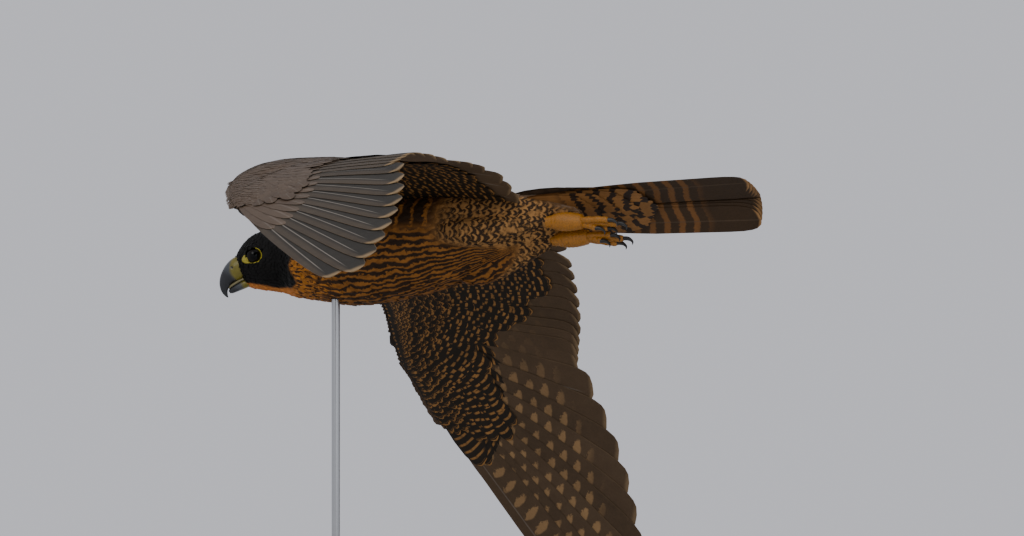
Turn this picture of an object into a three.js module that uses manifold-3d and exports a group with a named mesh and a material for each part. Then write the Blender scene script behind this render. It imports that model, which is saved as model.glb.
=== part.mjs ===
// A life-size peregrine falcon in banked flight, on a round base with one rod.
// Millimetres, +Z up. The origin is the middle of the base's underside.
// The bird has its own frame: x forward, y to its left, z to its back.
// Its origin lies midway between the shoulders.
import * as THREE from "three";
import { mergeVertices } from "three/addons/utils/BufferGeometryUtils.js";
import Module from "manifold-3d";

const wasm = await Module();
wasm.setup();

// Driving dimensions
const BIRD_HEIGHT = 402; // of the point midway between the shoulders, above the floor
const BIRD_PLACE = new THREE.Vector3(-48, 10, BIRD_HEIGHT);
const HEADING = 21.2; // degrees that the body turns away from a viewer looking along +Y
const BANK = 28.6; // degrees that the left side is raised
const CLIMB = -0.6; // degrees that the body's line rises towards the head
const HEAD_PLACE = [95.4, -2.3, -27.8]; // between the eyes, in the bird's frame
const HEAD_PITCH = 24; // degrees that the level-held head looks down
const GAP = 0.3; // left between two nodes that touch
const PLATE = 0.6; // thickness of a feather's vane
const LAYER = 0.95; // from one vane to the next that it overlaps

const TAIL_LENGTH = 188;
const TAIL_ROOT = [-163, 0, 12];
const TAIL_TWIST = 17; // degrees that the tail banks further than the body
const TAIL_RISE = 3.2; // degrees that the tail rises backwards from the body's line
const TAIL_PAIRS = 6;

const WRIST = [144, -44];
const HAND_LENGTH = 84;
const HAND_SWEEP = { left: 32, right: 30.5 }; // degrees that the hand points backwards from straight across
const WING_LENGTH = 350; // from the wrist to the longest primary's tip
const PRIMARIES = 10;
const SECONDARIES = 13;
const SHOULDER = [0, 33, 8];

const BASE_RADIUS = 118;
const BASE_THICKNESS = 16;
const ROD_RADIUS = 3.5;
const ROD_FORWARD = 16; // where the rod meets the breast, ahead of the shoulders

const rad = THREE.MathUtils.degToRad;
const lerp = THREE.MathUtils.lerp;
const smooth = (x) => THREE.MathUtils.smoothstep(x, 0, 1);
const vec = (x, y, z) => new THREE.Vector3(x, y, z);

// A value at x from rows of [x, value], with straight lines between them
function along(rows, x) {
  let i = 1;
  while (i < rows.length - 1 && x > rows[i][0]) i++;
  const t = (x - rows[i - 1][0]) / (rows[i][0] - rows[i - 1][0]);
  return lerp(rows[i - 1][1], rows[i][1], THREE.MathUtils.clamp(t, 0, 1));
}

// Solids and geometry
function solid(geometry) {
  const bare = geometry.index ? geometry.toNonIndexed() : geometry.clone();
  bare.deleteAttribute("normal");
  bare.deleteAttribute("uv");
  const merged = mergeVertices(bare, 1e-4);
  return new wasm.Manifold(
    new wasm.Mesh({
      numProp: 3,
      vertProperties: merged.attributes.position.array,
      triVerts: new Uint32Array(merged.index.array),
    }),
  );
}

function geometryOf(made) {
  const mesh = made.getMesh();
  const geometry = new THREE.BufferGeometry();
  const places = new Float32Array(mesh.vertProperties);
  geometry.setAttribute("position", new THREE.BufferAttribute(places, 3));
  geometry.setIndex(new THREE.BufferAttribute(new Uint32Array(mesh.triVerts), 1));
  return geometry;
}

const largest = (made) =>
  made.decompose().reduce((a, b) => (b.volume() > a.volume() ? b : a));

const joined = (pieces) => largest(pieces.reduce((a, b) => a.add(b)));

// A closed skin over rings of points, each ring with as many points as the next
function ringSolid(rings) {
  const count = rings[0].length;
  const points = rings.flat();
  const faces = [];
  for (let i = 0; i < rings.length - 1; i++)
    for (let j = 0; j < count; j++) {
      const a = i * count + j;
      const b = i * count + ((j + 1) % count);
      faces.push(a, b, a + count, b, b + count, a + count);
    }
  for (const [ring, turned] of [
    [0, true],
    [rings.length - 1, false],
  ]) {
    const centre = points.length;
    points.push(
      rings[ring].reduce((a, p) => a.clone().add(p), vec(0, 0, 0)).divideScalar(count),
    );
    for (let j = 0; j < count; j++) {
      const a = ring * count + j;
      const b = ring * count + ((j + 1) % count);
      faces.push(...(turned ? [centre, b, a] : [centre, a, b]));
    }
  }
  return outward(points, faces);
}

function outward(points, faces) {
  const geometry = new THREE.BufferGeometry().setFromPoints(points);
  geometry.setIndex(faces);
  const made = solid(geometry);
  if (made.volume() > 0) return made;
  for (let i = 0; i < faces.length; i += 3)
    [faces[i + 1], faces[i + 2]] = [faces[i + 2], faces[i + 1]];
  geometry.setIndex(faces);
  return solid(geometry);
}

// A thin closed plate between two grids of points, cut into triangles alike on both faces
function plate(top, bottom) {
  const rows = top.length;
  const columns = top[0].length;
  const points = [...top.flat(), ...bottom.flat()];
  const half = rows * columns;
  const faces = [];
  for (let i = 0; i < rows - 1; i++)
    for (let j = 0; j < columns - 1; j++) {
      const [a, d] = [i * columns + j, (i + 1) * columns + j];
      const [b, c] = [a + 1, d + 1];
      const alike = j < (columns - 1) / 2 ? [a, b, c, a, c, d] : [a, b, d, b, c, d];
      faces.push(...alike, ...alike.map((k) => k + half).reverse());
    }
  const rim = [];
  for (let j = 0; j < columns - 1; j++) rim.push(j);
  for (let i = 0; i < rows - 1; i++) rim.push(i * columns + columns - 1);
  for (let j = columns - 1; j > 0; j--) rim.push((rows - 1) * columns + j);
  for (let i = rows - 1; i > 0; i--) rim.push(i * columns);
  rim.forEach((a, k) => {
    const b = rim[(k + 1) % rim.length];
    faces.push(b, a, a + half, b, a + half, b + half);
  });
  return outward(points, faces);
}

// The bird's own frame and the head's, both told as a viewer looking along +Y sees them
function frameOf(heading, bank, climb) {
  const forward = vec(-Math.cos(rad(heading)), Math.sin(rad(heading)), 0);
  const level = vec(0, 0, 1).cross(forward);
  const left = level
    .clone()
    .multiplyScalar(Math.cos(rad(bank)))
    .add(vec(0, 0, Math.sin(rad(bank))));
  const up = forward.clone().cross(left);
  const frame = new THREE.Matrix4().makeBasis(forward, left, up);
  return new THREE.Matrix4().makeRotationY(rad(climb)).multiply(frame);
}
const birdFrame = frameOf(HEADING, BANK, CLIMB).setPosition(BIRD_PLACE);
const headFrame = new THREE.Matrix4()
  .makeRotationFromQuaternion(
    new THREE.Quaternion()
      .setFromRotationMatrix(birdFrame)
      .invert()
      .multiply(new THREE.Quaternion().setFromRotationMatrix(frameOf(0, 0, -HEAD_PITCH))),
  )
  .setPosition(...HEAD_PLACE);

// Body: the flesh and small feathers of tail root, trunk, neck and head in one skin.
// Trunk rows: place along the body, middle's height, half width, height above and below the middle, twist.
const TRUNK = [
  [-196, 5, 5, 4, 3, 16],
  [-188, 5, 12, 8, 7, 16],
  [-165, 2, 22, 17, 15, 15],
  [-138, -5, 31, 26, 23, 12],
  [-105, -11, 38, 34, 33, 8],
  [-70, -19, 45, 37, 39, 3],
  [-35, -23, 48, 40, 45, 0],
  [0, -25, 48, 40, 48, 0],
  [28, -26, 43, 36, 44, 0],
  [54, -29, 35, 32, 37, 0],
];
// Head rows: place ahead of the eyes, middle's height, half width, half height.
const HEAD = [
  [-13, -13, 23.5, 30],
  [-3, -9.5, 22.3, 26.2],
  [6, -8.8, 18.6, 22],
  [13, -8.6, 13.4, 17.4],
  [18, -8.5, 9.2, 13.6],
];
const BODY_RINGS = 27;
const BODY_SIDES = 28;

function bodyRows() {
  const rows = TRUNK.map(([x, z, width, above, below, twist]) => ({
    middle: vec(x, x > 40 ? -2.5 : 0, z),
    turn: new THREE.Quaternion().setFromAxisAngle(vec(1, 0, 0), rad(twist)),
    sizes: [width, above, below],
  }));
  const turn = new THREE.Quaternion().setFromRotationMatrix(headFrame);
  for (const [x, z, width, height] of HEAD)
    rows.push({
      middle: vec(x, 0, z).applyMatrix4(headFrame),
      turn,
      sizes: [width, height, height],
    });
  return rows;
}

// The body's rings, each point moved outwards by extra
function bodyRings(extra) {
  const rows = bodyRows();
  const middles = new THREE.CatmullRomCurve3(
    rows.map((r) => r.middle),
    false,
    "centripetal",
  );
  const sizes = new THREE.CatmullRomCurve3(
    rows.map((r) => vec(...r.sizes)),
    false,
    "centripetal",
  );
  const rings = [];
  for (let i = 0; i < BODY_RINGS; i++) {
    const t = i / (BODY_RINGS - 1);
    const place = t * (rows.length - 1);
    const first = Math.min(Math.floor(place), rows.length - 2);
    const turn = rows[first].turn.clone().slerp(rows[first + 1].turn, place - first);
    const middle = middles.getPoint(t);
    const size = sizes.getPoint(t);
    const ends = extra * (i === 0 ? -1 : i === BODY_RINGS - 1 ? 1 : 0);
    const ring = [];
    for (let j = 0; j < BODY_SIDES; j++) {
      const angle = (2 * Math.PI * j) / BODY_SIDES;
      const high = Math.sin(angle) > 0 ? size.y : size.z;
      ring.push(
        vec(ends, Math.cos(angle) * (size.x + extra), Math.sin(angle) * (high + extra))
          .applyQuaternion(turn)
          .add(middle),
      );
    }
    rings.push(ring);
  }
  return rings;
}
const body = ringSolid(bodyRings(0));
const bodyAndGap = ringSolid(bodyRings(GAP + 0.1));

// The half space ahead of a plane of the body, as a large block
function ahead(place, matrix, thickness = 400) {
  const box = new THREE.BoxGeometry(thickness, 400, 400);
  box.translate(place + thickness / 2, 0, 0);
  return solid(box.applyMatrix4(matrix));
}
const NECK_START = 28;
const HEAD_START = -24;
const still = new THREE.Matrix4();

// Eyes
const EYE_RADIUS = 7.4;
const EYE_PLACE = [1, 12.6, 0]; // in the head's frame; the right eye mirrors it

function ball(radius, wide, high, matrix) {
  return solid(new THREE.SphereGeometry(radius, wide, high).applyMatrix4(matrix));
}
const inHead = (x, y, z) => headFrame.clone().multiply(new THREE.Matrix4().makeTranslation(x, y, z));

function eye(side) {
  const [x, y, z] = EYE_PLACE;
  return ball(EYE_RADIUS, 14, 9, inHead(x, side * y, z));
}

function eyeSocket(side) {
  const [x, y, z] = EYE_PLACE;
  return ball(EYE_RADIUS + GAP, 14, 9, inHead(x, side * y, z));
}

// The raised lid that rings the eye
const LID_RADIUS = 7.1;
const LID_WIRE = 1.5;
function lid(side) {
  const ring = new THREE.TorusGeometry(LID_RADIUS, LID_WIRE, 6, 16);
  ring.rotateX(rad(90));
  ring.rotateZ(side * rad(-14));
  const [x, y, z] = EYE_PLACE;
  ring.applyMatrix4(inHead(x + 0.9, side * (y + 5.4), z));
  return solid(ring);
}

// The ridge over the eye
function brow(side) {
  const ridge = new THREE.SphereGeometry(1, 12, 8).scale(9, 3.5, 2.6);
  ridge.rotateZ(side * rad(-22));
  ridge.rotateY(rad(-12));
  return solid(ridge.applyMatrix4(inHead(2.5, side * 14.6, 7.9)));
}

// Bill. Rows run from the face to the tip: place ahead of the eyes, height, half width, half height.
const UPPER_BILL = [
  [10, -4.6, 8.2, 9.2],
  [18.6, -4.6, 7.9, 9.3],
  [24, -5.8, 6.9, 8.3],
  [29.4, -8.2, 5.3, 6.4],
  [33.6, -11.9, 3.7, 4.6],
  [35.9, -16.6, 2.4, 2.9],
  [36.2, -20.6, 1.3, 1.5],
  [35.6, -23.6, 0.5, 0.5],
];
const LOWER_BILL = [
  [9, -18.2, 7.2, 4],
  [18, -18.5, 6.5, 3.9],
  [25, -18.8, 4.9, 3.4],
  [30.5, -19.4, 3, 2.5],
  [33, -20, 1.2, 1.2],
];
const BILL_SIDES = 14;
const MOUTH_GAP = 0.5;

function billRings(rows, count, flatBelow) {
  const curve = new THREE.CatmullRomCurve3(rows.map(([x, z]) => vec(x, 0, z)), false, "centripetal");
  const sizes = new THREE.CatmullRomCurve3(rows.map((r) => vec(r[2], r[3], 0)), false, "centripetal");
  const rings = [];
  for (let i = 0; i < count; i++) {
    const t = i / (count - 1);
    const middle = curve.getPoint(t);
    const tangent = curve.getTangent(t);
    const up = vec(-tangent.z, 0, tangent.x);
    const size = sizes.getPoint(t);
    const ring = [];
    for (let j = 0; j < BILL_SIDES; j++) {
      const angle = (2 * Math.PI * j) / BILL_SIDES;
      const lift = Math.sin(angle);
      const high = flatBelow && lift < 0 ? lift * 1.08 : lift;
      const power = flatBelow && lift < 0 ? 0.6 : 0.9;
      const wide = Math.sign(Math.cos(angle)) * Math.abs(Math.cos(angle)) ** power;
      ring.push(
        middle
          .clone()
          .addScaledVector(up, high * size.y)
          .add(vec(0, wide * size.x, 0))
          .applyMatrix4(headFrame),
      );
    }
    rings.push(ring);
  }
  return rings;
}

const NOSTRIL_RADIUS = 1.1;
function nostril(side) {
  const pit = new THREE.CylinderGeometry(NOSTRIL_RADIUS, NOSTRIL_RADIUS, 6, 10);
  return solid(pit.applyMatrix4(inHead(22.4, side * 8, -1.6)));
}

// The tooth on each cutting edge of the upper bill
function tooth(side) {
  const point = new THREE.ConeGeometry(1.5, 3, 6).rotateX(rad(180));
  return solid(point.applyMatrix4(inHead(31, side * 2.9, -14.6)));
}

// The slit of the mouth, from the bill back to below the eye
function mouthSlit() {
  const slit = new THREE.BoxGeometry(30, 60, MOUTH_GAP).rotateY(rad(-2));
  return solid(slit.applyMatrix4(inHead(21.5, 0, -14.9)));
}

function makeHead() {
  const front = ahead(HEAD_START + GAP / 2, headFrame).intersect(ahead(NECK_START + GAP / 2, still));
  const skull = body.intersect(front);
  let made = joined([skull, lid(1), lid(-1), brow(1), brow(-1)]);
  for (const side of [1, -1]) made = made.subtract(eyeSocket(side));
  const cheek = 5.5; // depth of the slit into each cheek
  const core = new THREE.BoxGeometry(60, 2 * (15 - cheek), 20);
  const inside = solid(core.applyMatrix4(inHead(20, 0, -15)));
  return largest(made.subtract(mouthSlit().subtract(inside)));
}

function makeBill() {
  const face = ringSolid(bodyRings(GAP)).add(ahead(18.4, headFrame, 0.01));
  const upper = joined([ringSolid(billRings(UPPER_BILL, 13, true)), tooth(1), tooth(-1)]);
  const lower = ringSolid(billRings(LOWER_BILL, 8, false));
  const mouth = mouthSlit();
  const behind = ahead(-60, headFrame, 60 + 18 + GAP);
  const trim = (s) => largest(s.subtract(face).subtract(mouth).subtract(behind));
  const cut = upper.subtract(nostril(1)).subtract(nostril(-1));
  const top = trim(cut);
  const below = new THREE.BoxGeometry(60, 60, 40).translate(0, 0, -20 - 14.9);
  const lowerHalf = solid(below.rotateY(rad(-2)).applyMatrix4(inHead(21.5, 0, 0)));
  const grown = ringSolid(billRings(UPPER_BILL.map(([x, z, w, h]) => [x, z, w + GAP, h + GAP]), 13, true));
  return { upper: top, lower: trim(lower.intersect(lowerHalf).subtract(grown)) };
}

// Wings. The flat wing is told in three numbers: across (outwards from the shoulder), back, and height.
// The wing's bones then bend that sheet: its slope across the span, and its tilt from front to back.
const SLOPES = {
  left: [
    [-30, 14],
    [0, 6],
    [45, -12],
    [100, -32],
    [144, -44],
    [210, -50],
    [440, -51],
  ],
  right: [
    [-30, 12],
    [0, 4],
    [45, -4],
    [100, -18],
    [144, -32],
    [210, -45],
    [440, -51],
  ],
};
const FORWARD = { left: 6, right: -21 }; // how far the wrist is brought forward of the flat wing's
// Degrees that the trailing edge is raised
const TILT = {
  left: [
    [0, 3],
    [100, 5],
    [144, 12],
    [440, 12],
  ],
  right: [
    [0, 9],
    [144, 5],
    [300, 1],
    [440, 0],
  ],
};
const CAMBER = 900; // radius of the wing's curve from front to back
const STEP = 6;

function wingMap(side) {
  const sign = side === "left" ? 1 : -1;
  const places = [[0, 0]];
  for (let s = 0; s < 450; s += STEP) {
    const slope = rad(along(SLOPES[side], s + STEP / 2));
    const [y, z] = places.at(-1);
    places.push([y + STEP * Math.cos(slope), z + STEP * Math.sin(slope)]);
  }
  const inner = rad(SLOPES[side][1][1]);
  return (across, back, height) => {
    const at = THREE.MathUtils.clamp(across / STEP, 0, places.length - 1.001);
    const first = Math.floor(at);
    const part = at - first;
    let y = lerp(places[first][0], places[first + 1][0], part);
    let z = lerp(places[first][1], places[first + 1][1], part);
    if (across < 0) {
      y += across * Math.cos(inner);
      z += across * Math.sin(inner);
    }
    const slope = rad(along(SLOPES[side], across));
    const tilt = rad(along(TILT[side], across));
    const lifted = height - (back * Math.abs(back)) / (2 * CAMBER);
    const rise = back * Math.sin(tilt) + lifted * Math.cos(tilt);
    const run = back * Math.cos(tilt) - lifted * Math.sin(tilt);
    const brought = FORWARD[side] * smooth(across / WRIST[0]);
    return vec(
      SHOULDER[0] - run + brought,
      sign * (SHOULDER[1] + y - rise * Math.sin(slope)),
      SHOULDER[2] + z + rise * Math.cos(slope),
    );
  };
}

// The flight feathers of the flat wing: root, direction, length and widths.
// A direction is told in degrees back from straight across.
const toDirection = (sweep) => [Math.cos(rad(sweep)), Math.sin(rad(sweep))];
// How much shorter each primary's tip lies than the longest's, from the innermost outwards
const TIP_SHORTFALL = [183, 167, 149, 130, 110, 88, 62, 34, 6, 3];
const LEAD = 14; // how far the outermost primary's root lies ahead of the innermost's line

function flightFeathers(side) {
  const handDirection = toDirection(HAND_SWEEP[side]);
  const feathers = [];
  for (let i = 0; i < SECONDARIES; i++) {
    const t = i / (SECONDARIES - 1); // from the elbow's side to the wrist
    const onArm = Math.min(t * 1.25, 1.12);
    const root =
      t < 0.2
        ? [lerp(28, 66, t / 0.2), lerp(26, 24, t / 0.2)]
        : [lerp(72, 143, (t - 0.2) / 0.8), lerp(20, -38, (t - 0.2) / 0.8)];
    feathers.push({
      root,
      sweep: lerp(101, 77, smooth(onArm)),
      length: lerp(126, 150, t) - 9 * Math.sin(Math.PI * t),
      outer: 11,
      inner: 18,
      bend: 5,
      pointed: 0,
    });
  }
  for (let i = 0; i < PRIMARIES; i++) {
    const t = i / (PRIMARIES - 1); // from the wrist outwards
    const from = lerp(5, HAND_LENGTH - 3, t);
    const ahead = LEAD * t ** 2;
    const root = [
      WRIST[0] + from * handDirection[0] + ahead * handDirection[1] - 2,
      WRIST[1] + from * handDirection[1] - ahead * handDirection[0] + 4,
    ];
    feathers.push({
      root,
      sweep: lerp(HAND_SWEEP[side] + 40, HAND_SWEEP[side] - 2, t ** 0.85) + 3 * t ** 2,
      length: WING_LENGTH - TIP_SHORTFALL[i] - from * lerp(0.35, 1, t),
      outer: lerp(11, 9, t),
      inner: lerp(21, 24, t),
      bend: lerp(5, 7, t),
      pointed: t,
    });
  }
  return feathers;
}

// The widths of a vane along its length, as shares of its full width
const BLUNT = [
  [0, 0.2],
  [0.18, 0.72],
  [0.5, 1],
  [0.9, 1],
  [0.96, 0.86],
  [1, 0.5],
];
const POINTED = [
  [0, 0.2],
  [0.18, 0.85],
  [0.45, 1],
  [0.8, 0.95],
  [0.94, 0.76],
  [1, 0.3],
];

// One vane on a sheet. height(u, v) is the height of its middle surface, u along it and v across it in mm.
function vane(map, feather, height, rows) {
  const { root, sweep, length, outer, inner, bend, pointed } = feather;
  const top = [];
  const bottom = [];
  for (const u of rows) {
    const angle = rad(sweep + bend * u * 0.5);
    const turned = rad(sweep + bend * u);
    const share = lerp(along(BLUNT, u), along(POINTED, u), pointed);
    const reach = length * u;
    const [upper, lower] = [[], []];
    for (const v of [-inner * share, 0, outer * share]) {
      const back = length * 0.03 * (Math.abs(v) / inner) * u; // the shaft's end stands out furthest
      const across = root[0] + (reach - back) * Math.cos(angle) + v * Math.sin(turned);
      const behind = root[1] + (reach - back) * Math.sin(angle) - v * Math.cos(turned);
      const h = height(u, v);
      upper.push(map(across, behind, h + PLATE / 2));
      lower.push(map(across, behind, h - PLATE / 2));
    }
    top.push(upper);
    bottom.push(lower);
  }
  return plate(top, bottom);
}

const FLIGHT_ROWS = [0, 0.4, 0.95, 1];
const COVERT_ROWS = [0, 0.7, 1];

// The space between a feather's shaft and the next one's, at a share u of their length
function spacing(feathers, i, u) {
  const [a, b] = i < feathers.length - 1 ? [feathers[i], feathers[i + 1]] : [feathers[i - 1], feathers[i]];
  const at = (f) => {
    const [x, y] = toDirection(f.sweep + f.bend * u * 0.5);
    return [f.root[0] + a.length * u * x, f.root[1] + a.length * u * y];
  };
  const [p, q] = [at(a), at(b)];
  return Math.max(Math.hypot(p[0] - q[0], p[1] - q[1]), 5.5);
}

// The wing's fleshy front part, with the small feathers that lie smooth on it
const ARM_FRONT = [
  [-28, -14],
  [0, -20],
  [40, -32],
  [90, -47],
  [130, -53],
  [146, -52],
];
// Along the hand from the wrist, and how far the front edge lies ahead of its bones
const HAND_FRONT = [
  [12, 14],
  [44, 18],
  [68, 20],
  [86, 19],
];
const BACK_EDGE = [
  [-28, 66],
  [30, 58],
  [76, 48],
  [128, 0],
  [146, -16],
  [190, 4],
  [228, 10],
];
const THICKNESS = [
  [-28, 10],
  [0, 9.5],
  [76, 8],
  [144, 6.6],
  [200, 5],
  [228, 3],
];
const CORE_ROWS = [-28, 0, 35, 70, 105, 130, 148, 166, 190, 212, 228];
const CORE_SHARES = [0, 0.12, 0.35, 0.65, 1];
const CORE_FORM = [0.16, 0.72, 1, 0.82, 0.18];

function wingCore(map, side) {
  const [x, y] = toDirection(HAND_SWEEP[side]);
  const handFront = HAND_FRONT.map(([from, lead]) => [
    WRIST[0] + from * x + lead * y,
    WRIST[1] + from * y - lead * x,
  ]);
  const frontEdge = [...ARM_FRONT, ...handFront];
  const rings = CORE_ROWS.map((across) => {
    const front = along(frontEdge, across);
    const back = along(BACK_EDGE, across);
    const thick = along(THICKNESS, across);
    const face = (side) =>
      CORE_SHARES.map((share, k) => map(across, lerp(front, back, share), side * thick * CORE_FORM[k]));
    return [...face(1), ...face(-1).reverse()];
  });
  return ringSolid(rings);
}

function makeWing(side) {
  const map = wingMap(side);
  const feathers = flightFeathers(side);
  const slant = (i, u) => LAYER / spacing(feathers, i, u);
  const pieces = [wingCore(map, side)];
  feathers.forEach((feather, i) => {
    pieces.push(vane(map, feather, (u, v) => slant(i, u) * v, FLIGHT_ROWS));
    // Great coverts over and under the flight feathers
    const share = lerp(0.52, 0.42, feather.pointed);
    const covert = {
      ...feather,
      length: feather.length * share + 12,
      root: [
        feather.root[0] - 8 * Math.cos(rad(feather.sweep)),
        feather.root[1] - 8 * Math.sin(rad(feather.sweep)),
      ],
      bend: feather.bend * share,
      outer: feather.outer * 0.9,
      inner: feather.inner * 0.7,
      pointed: feather.pointed * 0.4,
    };
    const lift = (u) => slant(i, u * share) * (feather.outer + covert.inner) + PLATE + 0.6;
    const drop = (u) => slant(i, u * share) * (feather.inner + covert.outer) + PLATE + 0.6;
    if (i % 2) pieces.push(vane(map, covert, (u, v) => lift(u) + slant(i, u * share) * v, COVERT_ROWS));
    const under = { ...covert, length: covert.length * 0.92 };
    if (i % 2) pieces.push(vane(map, under, (u, v) => -drop(u) + slant(i, u * share) * v, COVERT_ROWS));
  });
  return largest(joined(pieces).subtract(bodyAndGap));
}

// Tail: six pairs of feathers, the middle pair on top, with coverts over and under their roots
function tailMap() {
  const frame = new THREE.Matrix4()
    .makeRotationX(rad(TAIL_TWIST))
    .multiply(new THREE.Matrix4().makeRotationY(rad(TAIL_RISE)))
    .setPosition(...TAIL_ROOT);
  const arch = 120; // radius of the tail's curve from side to side
  return (aside, back, height) =>
    vec(-back, aside, height - (aside * aside) / (2 * arch)).applyMatrix4(frame);
}

const TAIL_FAN = 1.6; // degrees from the middle to the outermost shaft
function tailVane(map, side, place, feather) {
  const { length, half, height, rows = FLIGHT_ROWS, fan = TAIL_FAN, roots = 15 } = feather;
  const angle = rad(side * fan * place);
  const start = side * (1.6 + roots * place);
  const [top, bottom] = [[], []];
  for (const u of rows) {
    const share = along(BLUNT, u);
    const [upper, lower] = [[], []];
    for (const v of [-half * share, 0, half * share]) {
      const back = length * u - (Math.abs(v) / half) * 5 * u;
      const free = start + back * Math.tan(angle) + v;
      const aside = place > 0 ? side * Math.max(side * free, 0.8) : free;
      upper.push(map(aside, back, height(u) + PLATE / 2));
      lower.push(map(aside, back, height(u) - PLATE / 2));
    }
    top.push(upper);
    bottom.push(lower);
  }
  return plate(top, bottom);
}

function makeTail() {
  const map = tailMap();
  const pieces = [];
  for (let i = 0; i < TAIL_PAIRS; i++)
    for (const side of [1, -1]) {
      const place = i / (TAIL_PAIRS - 1);
      const rank = i + (side === -1 && i === 0 ? 0.9 : 0) + (i > 0 ? 0.9 : 0);
      pieces.push(
        tailVane(map, side, place, {
          length: TAIL_LENGTH - 13 * place ** 2,
          half: 11,
          height: () => 2.6 - LAYER * rank,
        }),
      );
    }
  const root = new THREE.SphereGeometry(1, 14, 8).scale(34, 15, 7.5);
  const twist = new THREE.Matrix4().makeRotationX(rad(TAIL_TWIST));
  root.applyMatrix4(twist.setPosition(TAIL_ROOT[0] - 12, 0, TAIL_ROOT[2] - 2));
  pieces.push(solid(root));
  for (const [top, count, reach] of [
    [true, 2, 74],
    [false, 4, 98],
  ])
    for (let i = 0; i < count; i++)
      for (const side of [1, -1]) {
        const place = i / (count - 1);
        const rank = LAYER * (i + (side === -1 && i === 0 ? 0.9 : 0) + (i > 0 ? 0.9 : 0));
        const lift = top ? 6.2 - rank : -5.2 - LAYER * 3 + rank;
        pieces.push(
          tailVane(map, side, place, {
            length: reach - 14 * place,
            half: 9,
            height: () => lift,
            rows: COVERT_ROWS,
            fan: 2.6,
            roots: 12,
          }),
        );
      }
  return largest(joined(pieces).subtract(bodyAndGap));
}

// Legs: feathered thighs on the belly, with the bare feet drawn back under the tail
const twist = new THREE.Matrix4().makeRotationX(rad(TAIL_TWIST * 0.8));
const THIGH = [
  [-84, 24, -34, 10],
  [-104, 24, -34, 13],
  [-126, 20, -27, 12.5],
  [-148, 15, -18, 9.5],
  [-166, 12, -12, 6],
  [-172, 11.2, -11, 3.2],
];
function tube(rows, sides, count, matrix, flat = 1) {
  const curve = new THREE.CatmullRomCurve3(rows.map(([x, y, z]) => vec(x, y, z)), false, "centripetal");
  const radii = new THREE.CatmullRomCurve3(rows.map((r) => vec(r[3], 0, 0)), false, "centripetal");
  const rings = [];
  for (let i = 0; i < count; i++) {
    const t = i / (count - 1);
    const tangent = curve.getTangent(t);
    const aside = vec(0, 0, 1).cross(tangent).normalize();
    const up = tangent.clone().cross(aside);
    const ring = [];
    for (let j = 0; j < sides; j++) {
      const angle = (2 * Math.PI * j) / sides;
      ring.push(
        curve
          .getPoint(t)
          .addScaledVector(aside, Math.cos(angle) * radii.getPoint(t).x)
          .addScaledVector(up, Math.sin(angle) * radii.getPoint(t).x * flat)
          .applyMatrix4(matrix),
      );
    }
    rings.push(ring);
  }
  return ringSolid(rings);
}

const mirrored = (rows, side) => rows.map(([x, y, z, r]) => [x, side * y, z, r]);
const thigh = (side, grow = 0) =>
  tube(
    mirrored(THIGH, side).map(([x, y, z, r]) => [x, y, z, r + grow]),
    14,
    10,
    twist,
  );

const TARSUS = [
  [-162, 12, -12.4, 3.8],
  [-171, 11.2, -11.2, 6.4],
  [-182, 10.3, -10.2, 8.2],
  [-193, 9.8, -9.8, 7.4],
  [-202, 9.4, -9.8, 5.2],
];
// Each toe: start of the spread across the foot, length, curl and thickness
const TOES = [
  { aside: -5, reach: 24, drop: 5, thick: 3 },
  { aside: 0, reach: 34, drop: 4, thick: 3.3 },
  { aside: 5, reach: 27, drop: 5, thick: 3 },
  { aside: -1.5, reach: 15, drop: 11, thick: 3 },
];
const CLAW = 12;

function makeFoot(side) {
  const pieces = [tube(mirrored(TARSUS, side), 8, 6, twist)];
  for (const { aside, reach, drop, thick } of TOES) {
    const [x, y, z] = [-199, 9.4 + aside * 0.35, -10];
    const tip = [x - reach, 9.4 + aside, z - drop * 0.55];
    const toe = [
      [x + 4, y, z, thick * 0.9],
      [lerp(x, tip[0], 0.3), lerp(y, tip[1], 0.5), z - drop * 0.15, thick],
      [lerp(x, tip[0], 0.62), lerp(y, tip[1], 0.85), z - drop * 0.3, thick * 0.86],
      [lerp(x, tip[0], 0.86), tip[1], z - drop * 0.45, thick * 0.9],
      [tip[0], tip[1], tip[2], thick * 0.6],
    ];
    pieces.push(tube(mirrored(toe, side), 6, 5, twist));
    const claw = [
      [tip[0] + 3, tip[1], tip[2] + 0.4, 1.7],
      [tip[0] - CLAW * 0.35, tip[1], tip[2] - 0.4, 1.6],
      [tip[0] - CLAW * 0.66, tip[1], tip[2] - 3.4, 1.05],
      [tip[0] - CLAW * 0.74, tip[1], tip[2] - 7.4, 0.3],
    ];
    pieces.push(tube(mirrored(claw, side), 5, 4, twist));
  }
  return joined(pieces);
}

// Stand: a round base with an eased rim and one rod up to the breast
function makeBase() {
  const ease = 2.5;
  const profile = [
    new THREE.Vector2(0, 0),
    new THREE.Vector2(BASE_RADIUS - 1, 0),
    new THREE.Vector2(BASE_RADIUS, 1),
    new THREE.Vector2(BASE_RADIUS, BASE_THICKNESS - ease),
    new THREE.Vector2(BASE_RADIUS - ease * 0.3, BASE_THICKNESS - ease * 0.3),
    new THREE.Vector2(BASE_RADIUS - ease, BASE_THICKNESS),
    new THREE.Vector2(0, BASE_THICKNESS),
  ];
  return solid(new THREE.LatheGeometry(profile, 36).rotateX(rad(90)));
}

function rodPlace() {
  return vec(ROD_FORWARD, 0, -60).applyMatrix4(birdFrame);
}

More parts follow.
